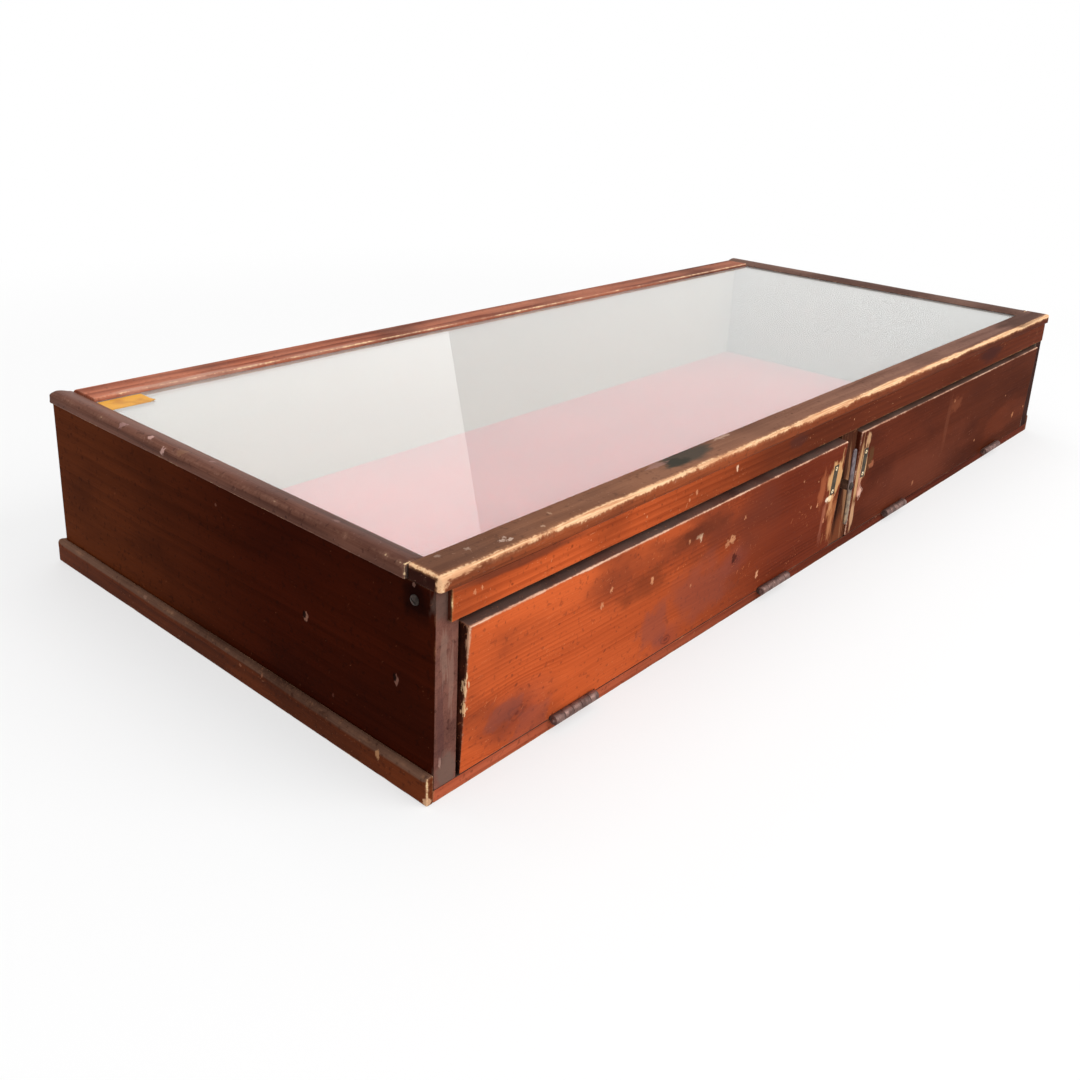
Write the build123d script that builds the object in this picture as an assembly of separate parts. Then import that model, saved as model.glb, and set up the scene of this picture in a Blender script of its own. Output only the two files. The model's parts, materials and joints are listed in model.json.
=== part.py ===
from build123d import *
import os
from math import cos, pi, radians, sin

# A low shop-counter display case in wood with a glass top. Two drop-down doors, each on
# a pair of butt hinges, close one long side, and a turn button on the stile between them
# holds them shut. Sizes are in millimetres. +X runs along the case, the doors face -Y,
# +Z is up, and Z = 0 is the underside of the base board at its centre.

# ---- Driving dimensions ----------------------------------------------------------------
# Carcase
case_length = 1160.0
case_depth = 514.0
wall_height = 150.0
base_thickness = 10.0
end_board_thickness = 21.0
front_board_thickness = 20.0
board_arris = 1.2

# Glass, which lies on the walls under the top frame, and the rebate for it in the frame
glass_thickness = 6.0
glass_rebate_width = 9.0
glass_edge_clearance = 0.5
glass_top_clearance = 0.2

# Rail, stop strip and stile of the door side
rail_depth = 24.0
rail_thickness = 18.8
rail_proud = 4.0
rail_housing = 10.5
stop_depth = 38.0
stop_thickness = 11.0
stile_width = 35.0
stile_setback = 1.0

# Top frame
top_frame_thickness = 12.0
rear_rail_width = 31.0
front_rail_width = 41.5
front_rail_overhang = 1.5
front_rail_thickness = 10.0
side_moulding_cover = 20.0
side_moulding_overhang = 3.0
top_round = 5.0
side_round = 7.0
front_rail_round = 8.5
small_round = 2.0

# Base moulding, round the two ends and the front
base_moulding_height = 22.5
base_moulding_proud = 6.0
base_moulding_round = 5.4

# Felt on the floor
felt_thickness = 2.0
felt_wall_clearance = 0.5
felt_door_clearance = 2.5

# Doors: panels hinged at the bottom, shown a little ajar
door_thickness = 15.0
door_top_gap = 6.7
door_bottom_gap = 0.6
door_end_gap = 3.0
door_stile_gap = 1.0
door_proud = 0.5
door_arris = 1.5
left_door_ajar = 3.3
right_door_ajar = 1.8

# Butt hinges: five knuckles on a loose pin, leaves let into the base board and the door
hinge_length = 50.8
outer_hinge_inset = 145.0
inner_hinge_offset = 135.0
leaf_thickness = 1.4
leaf_width = 17.5
leaf_gap = 0.2
leaf_recess_clearance = 0.2
barrel_radius = 4.0
barrel_clearance = 0.3
barrel_sides = 24
knuckle_count = 5
knuckle_gap = 0.3
pin_radius = 1.6
pin_clearance = 0.05
pin_sides = 12
pin_end_reach = 0.8
pin_set_out = 3.0
gain_end_clearance = 1.2

# Screws
leaf_screw_count = 2
leaf_screw_pitch = 30.5
leaf_screw_inset = 9.5
leaf_screw_head_radius = 2.7
leaf_screw_shank_radius = 1.4
case_screw_length = 7.5
door_screw_length = 13.0
screw_hole_clearance = 0.05
screw_sides = 12
crown_shoulder_radius = 0.86
crown_shoulder_height = 0.55
crown_top_radius = 0.5
stop_screw_head_radius = 4.0
stop_screw_head_height = 2.2
stop_screw_shank_radius = 2.2
stop_screw_length = 45.0
stop_screw_drop = 12.5
stop_screw_set_in = 5.0

# Turn button on the stile
button_pivot_offset = -4.0
button_pivot_height = 77.0
button_upper_arm = 41.0
button_lower_arm = 43.0
button_mid_width = 11.0
button_end_width = 8.0
button_thickness = 2.0
button_edge_bevel = 0.5
button_clearance = 0.5
button_screw_shank_radius = 2.0
button_screw_head_radius = 4.2
button_screw_head_height = 2.0
button_screw_depth = 10.0
button_bore_clearance = 0.06
button_play = 0.1
spacer_radius = 5.2

# Strike plates that the button bears on, let into the door faces
strike_width = 9.0
strike_height = 33.0
strike_thickness = 1.2
strike_proud = 0.2
strike_inset = 17.0
strike_centre_height = 91.0
strike_corner_cut = 1.5
strike_screw_pitch = 25.0
strike_screw_head_radius = 2.2
strike_screw_shank_radius = 1.1
strike_screw_length = 9.0

# How far a cutting shape runs on past the face where it leaves a piece
cut_overrun = 1.0

# ---- Places worked out from the driving dimensions ---------------------------------------
half_length = case_length / 2
rear_y = -case_depth / 2
front_y = case_depth / 2
wall_top = base_thickness + wall_height
inner_x = half_length - end_board_thickness
inner_front_y = front_y - front_board_thickness
glass_top = wall_top + glass_thickness
glass_rebate_top = glass_top + glass_top_clearance
rail_bottom = wall_top - rail_depth
rail_front_y = rear_y - rail_proud
rail_back_y = rail_front_y + rail_thickness
stop_back_y = rail_back_y + stop_thickness
stop_bottom = wall_top - stop_depth
frame_top = wall_top + top_frame_thickness
front_rail_top = wall_top + front_rail_thickness
top_rear_inner_y = rail_front_y + rear_rail_width
top_front_outer_y = front_y + front_rail_overhang
top_front_inner_y = top_front_outer_y - front_rail_width
side_inner_x = half_length - side_moulding_cover

door_face_y = rear_y - door_proud
door_bottom = base_thickness + door_bottom_gap
door_top = rail_bottom - door_top_gap
door_outer_x = inner_x - door_end_gap
door_inner_x = stile_width / 2 + door_stile_gap
hinge_y = door_face_y - pin_set_out
hinge_z = base_thickness + door_bottom_gap / 2
hinge_axis = Axis((0, hinge_y, hinge_z), (1, 0, 0))
outer_hinge_x = half_length - outer_hinge_inset
hinge_places = (-outer_hinge_x, -inner_hinge_offset, inner_hinge_offset, outer_hinge_x)
leaf_screw_y = hinge_y + leaf_screw_inset
gain_length = hinge_length + 2 * (pin_end_reach + gain_end_clearance)

stile_face_y = rear_y + stile_setback
button_pivot = (button_pivot_offset, button_pivot_height)
button_reach_height = button_pivot_height + max(button_upper_arm, button_lower_arm)
widest_ajar = radians(max(left_door_ajar, right_door_ajar))
ajar_face_y = hinge_y + pin_set_out * cos(widest_ajar)
ajar_face_y -= (button_reach_height - hinge_z) * sin(widest_ajar)
button_back_y = ajar_face_y - strike_proud - button_clearance
button_front_y = button_back_y - button_thickness
strike_x = door_inner_x + strike_inset


# ---- Shared shapes -----------------------------------------------------------------------
def block(x0, x1, y0, y1, z0, z1):
    """Square board between two corners."""
    middle = Pos((x0 + x1) / 2, (y0 + y1) / 2, (z0 + z1) / 2)
    return middle * Box(x1 - x0, y1 - y0, z1 - z0)


def rod_along_x(x0, x1, y, z, radius):
    """Round rod between two X positions."""
    return Pos((x0 + x1) / 2, y, z) * Rot(0, 90, 0) * Cylinder(radius, x1 - x0)


def rod_along_y(y0, y1, x, z, radius):
    """Round rod between two Y positions."""
    return Pos(x, (y0 + y1) / 2, z) * Rot(90, 0, 0) * Cylinder(radius, y1 - y0)


def round_edge(board, along, near, radius):
    """Round the edge that runs along an axis and lies nearest to a point."""
    edge = board.edges().filter_by(along).sort_by_distance(near)[0]
    return fillet(edge, radius)


def mirrored(shape):
    """The same piece on the other half of the case."""
    return mirror(shape, about=Plane.YZ)


def group(solids):
    """Separate solids kept as one piece."""
    return Compound(children=solids)


def screw_ring(radius, height):
    """Corners of a screw's flat-sided section at one height."""
    turns = [2 * pi * i / screw_sides for i in range(screw_sides)]
    return [Vector(radius * cos(turn), radius * sin(turn), height) for turn in turns]


def screw_body(*rings):
    """Solid with flat faces through rings of (radius, height), from the point to the head."""
    sections = [screw_ring(*ring) for ring in rings]
    faces = [Face(Wire.make_polygon(end)) for end in (sections[0][::-1], sections[-1])]
    for lower, upper in zip(sections, sections[1:]):
        for i in range(screw_sides):
            corners = [lower[i - 1], lower[i], upper[i], upper[i - 1]]
            faces.append(Face(Wire.make_polygon(corners)))
    return Solid(Shell(faces))


def countersunk_screw(head_radius, shank_radius, length, oversize=0.0):
    """Flat-headed wood screw, head face at the origin, pointing down -Z.

    With an oversize it is the hole that the screw goes in.
    """
    neck = shank_radius - head_radius
    head = head_radius + oversize
    shank = shank_radius + oversize
    return screw_body((shank, -length - oversize), (shank, neck), (head, 0))


def round_head_screw(head_radius, head_height, shank_radius, length, oversize=0.0):
    """Round-headed screw, underside of the head at the origin, pointing down -Z."""
    shank = shank_radius + oversize
    body = screw_body((shank, -length - oversize), (shank, 0))
    if oversize > 0:
        return body
    shoulder = (head_radius * crown_shoulder_radius, head_height * crown_shoulder_height)
    crown = (head_radius * crown_top_radius, head_height)
    return body + screw_body((head_radius, 0), shoulder, crown)


# ---- Carcase -----------------------------------------------------------------------------
def hinge_gain(x, leaf_z0, leaf_z1):
    """Room for a hinge: the recess for its leaf and the groove for its barrel."""
    reach = hinge_length / 2 + leaf_recess_clearance
    recess_back = hinge_y + leaf_width + leaf_recess_clearance
    recess = block(x - reach, x + reach, hinge_y, recess_back, leaf_z0, leaf_z1)
    half_gain = gain_length / 2
    groove_radius = barrel_radius + barrel_clearance
    return recess + rod_along_x(x - half_gain, x + half_gain, hinge_y, hinge_z, groove_radius)


def case_leaf_levels():
    """Underside and top of a leaf on the base board."""
    top = hinge_z - leaf_gap / 2
    return top - leaf_thickness, top


def door_leaf_levels():
    """Underside and top of a leaf on a closed door."""
    bottom = hinge_z + leaf_gap / 2
    return bottom, bottom + leaf_thickness


def leaf_screw_places(x):
    """X and Y of the screws of a leaf."""
    first = x - leaf_screw_pitch * (leaf_screw_count - 1) / 2
    return [(first + leaf_screw_pitch * i, leaf_screw_y) for i in range(leaf_screw_count)]


def case_leaf_screws(x, oversize=0.0):
    """Screws down through a leaf into the base board."""
    top = case_leaf_levels()[1]
    screw = countersunk_screw(
        leaf_screw_head_radius, leaf_screw_shank_radius, case_screw_length, oversize
    )
    return [Pos(sx, sy, top) * screw for sx, sy in leaf_screw_places(x)]


def door_leaf_screws(x, oversize=0.0):
    """Screws up through a leaf into the bottom edge of a closed door."""
    bottom = door_leaf_levels()[0]
    screw = countersunk_screw(
        leaf_screw_head_radius, leaf_screw_shank_radius, door_screw_length, oversize
    )
    return [Pos(sx, sy, bottom) * Rot(180, 0, 0) * screw for sx, sy in leaf_screw_places(x)]


def base_board():
    """Bottom of the case, with a gain for each hinge in its rear edge."""
    board = block(-half_length, half_length, rear_y, front_y, 0, base_thickness)
    board = round_edge(board, Axis.X, (0, rear_y, 0), board_arris)
    leaf_bottom = case_leaf_levels()[0]
    for x in hinge_places:
        board -= hinge_gain(x, leaf_bottom, base_thickness + cut_overrun)
        for hole in case_leaf_screws(x, screw_hole_clearance):
            board -= hole
    return board


def left_end_board():
    """End wall, housed at the rear for the door rail."""
    board = block(-half_length, -inner_x, rear_y, front_y, base_thickness, wall_top)
    board = round_edge(board, Axis.Z, (-half_length, rear_y, wall_top / 2), board_arris)
    housing_x = -half_length + rail_housing
    board -= block(housing_x, -inner_x, rear_y - cut_overrun, rail_back_y, rail_bottom, wall_top)
    return board - stop_screw(screw_hole_clearance)


def front_board():
    """Long wall of the customer's side."""
    return block(-inner_x, inner_x, inner_front_y, front_y, base_thickness, wall_top)


def door_rail():
    """Rail over the doors, housed in the end boards and a little proud of them."""
    reach = half_length - rail_housing
    rail = block(-reach, reach, rail_front_y, rail_back_y, rail_bottom, wall_top)
    return round_edge(rail, Axis.X, (0, rail_front_y, rail_bottom), board_arris)


def door_stop():
    """Strip behind the rail: stops the doors and carries the rear edge of the glass."""
    strip = block(-inner_x, inner_x, rail_back_y, stop_back_y, stop_bottom, wall_top)
    strip = round_edge(strip, Axis.X, (0, stop_back_y, stop_bottom), small_round)
    hole = stop_screw(screw_hole_clearance)
    return strip - hole - mirrored(hole)


def stop_screw(oversize=0.0):
    """Round-headed screw through the left end board into the end of the stop strip."""
    screw = round_head_screw(
        stop_screw_head_radius, stop_screw_head_height, stop_screw_shank_radius,
        stop_screw_length, oversize
    )
    place = Pos(-half_length, rail_back_y + stop_screw_set_in, wall_top - stop_screw_drop)
    return place * Rot(0, -90, 0) * screw


def centre_stile():
    """Upright between the doors, which carries the turn button."""
    half = stile_width / 2
    stile = block(-half, half, stile_face_y, rail_back_y, base_thickness, rail_bottom)
    hole = rod_along_y(
        stile_face_y - cut_overrun, stile_face_y + button_screw_depth + screw_hole_clearance,
        button_pivot[0], button_pivot[1], button_screw_shank_radius + screw_hole_clearance
    )
    return stile - hole


def glass_pane():
    """Glass top, lying on the walls and the stop strip, held down by the top frame."""
    reach = inner_x + glass_rebate_width - glass_edge_clearance
    back = rail_back_y + glass_edge_clearance
    ahead = inner_front_y + glass_rebate_width - glass_edge_clearance
    return block(-reach, reach, back, ahead, wall_top, glass_top)


def felt_floor():
    """Felt laid on the base board, clear of the swing of the doors."""
    reach = inner_x - felt_wall_clearance
    back = rail_back_y + felt_door_clearance
    ahead = inner_front_y - felt_wall_clearance
    return block(-reach, reach, back, ahead, base_thickness, base_thickness + felt_thickness)


# ---- Top frame and base mouldings --------------------------------------------------------
def glass_rebate():
    """Room for the glass, cut in the underside of each piece of the top frame."""
    reach = inner_x + glass_rebate_width
    ahead = inner_front_y + glass_rebate_width
    return block(-reach, reach, rail_back_y, ahead, wall_top - cut_overrun, glass_rebate_top)


def rear_top_rail():
    """Top rail over the doors, running the full length over both end boards."""
    rail = block(-half_length, half_length, rail_front_y, top_rear_inner_y, wall_top, frame_top)
    rail = round_edge(rail, Axis.X, (0, rail_front_y, frame_top), top_round)
    rail = round_edge(rail, Axis.X, (0, rail_front_y, wall_top), board_arris)
    rail = round_edge(rail, Axis.X, (0, top_rear_inner_y, frame_top), small_round)
    return rail - glass_rebate()


def front_top_rail():
    """Top rail of the customer's side: thinner, with a full round along its outer edge."""
    inner_y, outer_y = top_front_inner_y, top_front_outer_y
    rail = block(-side_inner_x, side_inner_x, inner_y, outer_y, wall_top, front_rail_top)
    rail = round_edge(rail, Axis.X, (0, outer_y, front_rail_top), front_rail_round)
    rail = round_edge(rail, Axis.X, (0, inner_y, front_rail_top), small_round)
    return rail - glass_rebate()


def left_top_moulding():
    """Rounded moulding over an end board, from the rear top rail to the front."""
    outer_x = -half_length - side_moulding_overhang
    moulding = block(outer_x, -side_inner_x, top_rear_inner_y, top_front_outer_y, wall_top, frame_top)
    moulding = round_edge(moulding, Axis.Y, (outer_x, 0, frame_top), side_round)
    moulding = round_edge(moulding, Axis.Y, (outer_x, 0, wall_top), small_round)
    moulding = round_edge(moulding, Axis.Y, (-side_inner_x, 0, frame_top), small_round)
    return moulding - glass_rebate()


def left_base_moulding():
    """Bullnosed strip along the foot of an end, mitred at the front corner."""
    outer_x = -half_length - base_moulding_proud
    plan = Polyline(
        (outer_x, rear_y), (-half_length, rear_y), (-half_length, front_y),
        (outer_x, front_y + base_moulding_proud), close=True
    )
    moulding = extrude(make_face(plan), amount=base_moulding_height)
    moulding = round_edge(moulding, Axis.Y, (outer_x, 0, base_moulding_height), base_moulding_round)
    return round_edge(moulding, Axis.Y, (outer_x, 0, 0), board_arris)


def front_base_moulding():
    """Bullnosed strip along the foot of the front, mitred at both ends."""
    outer_y = front_y + base_moulding_proud
    outer_x = half_length + base_moulding_proud
    plan = Polyline(
        (-half_length, front_y), (half_length, front_y), (outer_x, outer_y), (-outer_x, outer_y),
        close=True
    )
    moulding = extrude(make_face(plan), amount=base_moulding_height)
    moulding = round_edge(moulding, Axis.X, (0, outer_y, base_moulding_height), base_moulding_round)
    return round_edge(moulding, Axis.X, (0, outer_y, 0), board_arris)


# ---- Doors, modelled closed and then set ajar --------------------------------------------
def door_hinges(side):
    """X of the hinges on one half of the case, -1 for left and 1 for right."""
    return [x for x in hinge_places if x * side > 0]


def strike_outline(grow=0.0):
    """Outline of a strike plate about its centre."""
    outline = Rectangle(strike_width + 2 * grow, strike_height + 2 * grow)
    return chamfer(outline.vertices(), strike_corner_cut)


def on_door_face(side, depth):
    """Plane on a closed door's strike centre, facing out, a depth behind the door face."""
    origin = (side * strike_x, door_face_y + depth, strike_centre_height)
    return Plane(origin=origin, x_dir=(1, 0, 0), z_dir=(0, -1, 0))


def strike_screws(side, oversize=0.0):
    """Two flat-headed screws, one near each end of a strike plate."""
    screw = countersunk_screw(
        strike_screw_head_radius, strike_screw_shank_radius, strike_screw_length, oversize
    )
    face = on_door_face(side, -strike_proud)
    half_pitch = strike_screw_pitch / 2
    return [face * Pos(0, up, 0) * screw for up in (-half_pitch, half_pitch)]


def strike_plate(side):
    """Thin steel plate that the end of the turn button bears on."""
    depth = strike_thickness - strike_proud
    plate = extrude(on_door_face(side, depth) * strike_outline(), amount=strike_thickness)
    for hole in strike_screws(side, screw_hole_clearance):
        plate -= hole
    return plate


def door_panel(side):
    """Plain board, with gains for its hinges and a recess for its strike plate."""
    near, far = sorted((side * door_inner_x, side * door_outer_x))
    face_y = door_face_y
    panel = block(near, far, face_y, face_y + door_thickness, door_bottom, door_top)
    outer_edges = panel.faces().sort_by(Axis.Y)[0].edges().sort_by(Axis.Z)[1:]
    panel = fillet(outer_edges, door_arris)
    leaf_top = door_leaf_levels()[1]
    for x in door_hinges(side):
        panel -= hinge_gain(x, door_bottom - cut_overrun, leaf_top)
        for hole in door_leaf_screws(x, screw_hole_clearance):
            panel -= hole
    depth = strike_thickness - strike_proud
    recess = on_door_face(side, depth) * strike_outline(screw_hole_clearance)
    panel -= extrude(recess, amount=strike_thickness)
    for hole in strike_screws(side, screw_hole_clearance):
        panel -= hole
    return panel


def set_ajar(shape, angle):
    """Swing a closed door's piece out to its resting angle."""
    return shape.rotate(hinge_axis, angle)


# ---- Butt hinges -------------------------------------------------------------------------
def prism_on_hinge_axis(x0, x1, outline):
    """Straight prism about the hinge axis between two X positions."""
    start = Plane(origin=(x0, hinge_y, hinge_z), x_dir=(0, 1, 0), z_dir=(1, 0, 0))
    return extrude(start * outline, amount=x1 - x0)


def hinge_leaf(x, levels, first_knuckle, screws):
    """One leaf: a plate, every second knuckle from first_knuckle, and the bore for the pin."""
    bottom, top = levels
    plate_start = hinge_y + barrel_radius + barrel_clearance
    half = hinge_length / 2
    leaf = block(x - half, x + half, plate_start, hinge_y + leaf_width, bottom, top)
    barrel = RegularPolygon(barrel_radius, barrel_sides)
    bore = RegularPolygon(pin_radius + pin_clearance, pin_sides, major_radius=False)
    pitch = hinge_length / knuckle_count
    for i in range(first_knuckle, knuckle_count, 2):
        start = x - half + pitch * i + knuckle_gap / 2
        end = start + pitch - knuckle_gap
        leaf += prism_on_hinge_axis(start, end, barrel)
        leaf += block(start, end, hinge_y, plate_start, bottom, top)
    leaf -= prism_on_hinge_axis(x - half - cut_overrun, x + half + cut_overrun, bore)
    for hole in screws:
        leaf -= hole
    return leaf


def hinge_pin(x):
    """Plain pin, a little longer than the barrel."""
    half = hinge_length / 2 + pin_end_reach
    return prism_on_hinge_axis(x - half, x + half, RegularPolygon(pin_radius, pin_sides))


# ---- Turn button -------------------------------------------------------------------------
def button_plane(y):
    """Plane across the button's pivot at one Y, facing out."""
    return Plane(origin=(button_pivot[0], y, button_pivot[1]), x_dir=(1, 0, 0), z_dir=(0, -1, 0))


def turn_button():
    """Flat bar, widest at its pivot, with tapering arms and round ends."""
    mid = button_mid_width / 2
    end = button_end_width / 2
    high = button_upper_arm - end
    low = end - button_lower_arm
    arms = make_face(Polyline(
        (-mid, 0), (-end, low), (end, low), (mid, 0), (end, high), (-end, high), close=True
    ))
    outline = arms + Circle(mid) + Pos(0, high) * Circle(end) + Pos(0, low) * Circle(end)
    bar = extrude(button_plane(button_back_y) * outline, amount=button_thickness)
    bar = chamfer(bar.faces().sort_by(Axis.Y)[0].outer_wire().edges(), button_edge_bevel)
    bore_radius = button_screw_shank_radius + button_bore_clearance
    return bar - rod_along_y(
        button_front_y - cut_overrun, button_back_y + cut_overrun,
        button_pivot[0], button_pivot[1], bore_radius
    )


def turn_button_screw():
    """Round-headed screw that the button turns on."""
    head_seat = button_front_y - button_play
    head_outline = Polyline(
        (0, 0), (button_screw_head_radius, 0),
        (button_screw_head_radius * crown_shoulder_radius, button_screw_head_height * crown_shoulder_height),
        (button_screw_head_radius * crown_top_radius, button_screw_head_height),
        (0, button_screw_head_height), close=True
    )
    head = button_plane(head_seat) * revolve(Plane.XZ * make_face(head_outline), Axis.Z)
    shank_end = stile_face_y + button_screw_depth
    return head + rod_along_y(
        head_seat, shank_end, button_pivot[0], button_pivot[1], button_screw_shank_radius
    )


def turn_button_spacer():
    """Round collar that carries the button clear of the door faces."""
    front = button_back_y + button_play
    collar = rod_along_y(front, stile_face_y, button_pivot[0], button_pivot[1], spacer_radius)
    bore_radius = button_screw_shank_radius + screw_hole_clearance
    return collar - rod_along_y(
        front - cut_overrun, stile_face_y + cut_overrun,
        button_pivot[0], button_pivot[1], bore_radius
    )


# ---- Assembly ----------------------------------------------------------------------------
nodes = {
    "base_board": base_board(),
    "left_end_board": left_end_board(),
    "front_board": front_board(),
    "door_rail": door_rail(),
    "door_stop": door_stop(),
    "centre_stile": centre_stile(),
    "rear_top_rail": rear_top_rail(),
    "front_top_rail": front_top_rail(),
    "left_top_moulding": left_top_moulding(),
    "left_base_moulding": left_base_moulding(),
    "front_base_moulding": front_base_moulding(),
    "glass_pane": glass_pane(),
    "felt_floor": felt_floor(),
    "turn_button": turn_button(),
    "turn_button_spacer": turn_button_spacer(),
    "turn_button_screw": turn_button_screw(),
}
for piece in ("end_board", "top_moulding", "base_moulding"):
    nodes["right_" + piece] = mirrored(nodes["left_" + piece])
nodes["stop_screws"] = group([stop_screw(), mirrored(stop_screw())])

case_screws = []
for number, x in enumerate(hinge_places, start=1):
    holes = case_leaf_screws(x, screw_hole_clearance)
    nodes[f"hinge_{number}_case_leaf"] = hinge_leaf(x, case_leaf_levels(), 0, holes)
    nodes[f"hinge_{number}_pin"] = hinge_pin(x)
    case_screws += case_leaf_screws(x)
    holes = door_leaf_screws(x, screw_hole_clearance)
    leaf = hinge_leaf(x, door_leaf_levels(), 1, holes)
    ajar = left_door_ajar if x < 0 else right_door_ajar
    nodes[f"hinge_{number}_door_leaf"] = set_ajar(leaf, ajar)
nodes["case_leaf_screws"] = group(case_screws)

for name, side, ajar in (("left", -1, left_door_ajar), ("right", 1, right_door_ajar)):
    leaf_screws = [screw for x in door_hinges(side) for screw in door_leaf_screws(x)]
    nodes[f"{name}_door_panel"] = set_ajar(door_panel(side), ajar)
    nodes[f"{name}_door_leaf_screws"] = group([set_ajar(screw, ajar) for screw in leaf_screws])
    nodes[f"{name}_strike_plate"] = set_ajar(strike_plate(side), ajar)
    nodes[f"{name}_strike_screws"] = group([set_ajar(screw, ajar) for screw in strike_screws(side)])

os.makedirs("parts", exist_ok=True)
for name, shape in nodes.items():
    export_step(shape, f"parts/{name}.step")
print(len(nodes), "nodes written")
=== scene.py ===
import json
import logging
import math
from collections.abc import Iterable, Iterator, Sequence
from dataclasses import dataclass, field, replace
from enum import Enum
from functools import cache
from typing import TypeVar

import bmesh
import bpy
import numpy as np
from mathutils import Matrix, Vector

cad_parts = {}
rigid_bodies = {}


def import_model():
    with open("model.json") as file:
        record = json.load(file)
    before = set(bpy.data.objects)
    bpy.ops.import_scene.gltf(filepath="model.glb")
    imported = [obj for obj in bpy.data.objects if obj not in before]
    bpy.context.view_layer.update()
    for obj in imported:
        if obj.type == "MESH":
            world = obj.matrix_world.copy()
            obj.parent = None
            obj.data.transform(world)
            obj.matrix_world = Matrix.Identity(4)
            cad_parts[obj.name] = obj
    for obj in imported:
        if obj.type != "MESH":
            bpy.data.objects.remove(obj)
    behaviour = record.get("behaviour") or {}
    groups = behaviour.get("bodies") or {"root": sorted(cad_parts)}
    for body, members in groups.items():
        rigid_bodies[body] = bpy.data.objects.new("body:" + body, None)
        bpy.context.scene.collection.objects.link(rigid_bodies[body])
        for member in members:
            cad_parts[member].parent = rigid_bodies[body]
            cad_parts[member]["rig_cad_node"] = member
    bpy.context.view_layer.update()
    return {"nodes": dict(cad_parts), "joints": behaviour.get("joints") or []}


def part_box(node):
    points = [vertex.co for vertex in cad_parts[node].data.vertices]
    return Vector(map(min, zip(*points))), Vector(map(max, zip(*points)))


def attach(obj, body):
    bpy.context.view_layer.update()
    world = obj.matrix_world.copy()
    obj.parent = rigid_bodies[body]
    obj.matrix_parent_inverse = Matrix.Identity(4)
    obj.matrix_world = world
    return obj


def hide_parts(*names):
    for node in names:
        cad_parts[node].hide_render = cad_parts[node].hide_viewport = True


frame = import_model()
MM = 0.001
LOG = logging.getLogger("display_case")

X, Y, Z = range(3)
ORIGIN = (0.0, 0.0, 0.0)
UP, DOWN = (0.0, 0.0, 1.0), (0.0, 0.0, -1.0)
TO_LEFT, TO_RIGHT = (-1.0, 0.0, 0.0), (1.0, 0.0, 0.0)
TO_DOORS = (0.0, -1.0, 0.0)
WHITE = (1.0, 1.0, 1.0, 1.0)

# Numbers of the colour sockets of a Mix node, whose names are shared with its other types.
MIX_SHARE, MIX_UNDER, MIX_OVER, MIX_RESULT = 0, 6, 7, 2

# Turns that lay a piece made about Z along X, point a screw into the door side, and turn it over.
ALONG_X = Matrix.Rotation(math.pi / 2, 4, "Y")
INTO_DOORS = Matrix.Rotation(math.pi / 2, 4, "X")
UPSIDE_DOWN = Matrix.Rotation(math.pi, 4, "X")

Socket = bpy.types.NodeSocket
Value = float | tuple | Socket
Triple = tuple[float, float, float]
Colour = Triple  # red, green and blue as display values from 0 to 255
Kind = TypeVar("Kind")


def linear(colour: Colour) -> tuple[float, ...]:
    """Value that a shader's colour socket takes for a colour.

    Args:
        colour: red, green and blue from 0 to 255.

    Returns:
        The linear colour with an alpha of 1.
    """
    shares = [value / 255 for value in colour]
    return (*[v / 12.92 if v <= 0.04045 else ((v + 0.055) / 1.055) ** 2.4 for v in shares], 1.0)


def in_metres(lengths: Iterable[float]) -> tuple[float, ...]:
    """Lengths in mm as metres."""
    return tuple(length * MM for length in lengths)


# ---- Node graphs -----------------------------------------------------------------------------


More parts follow.
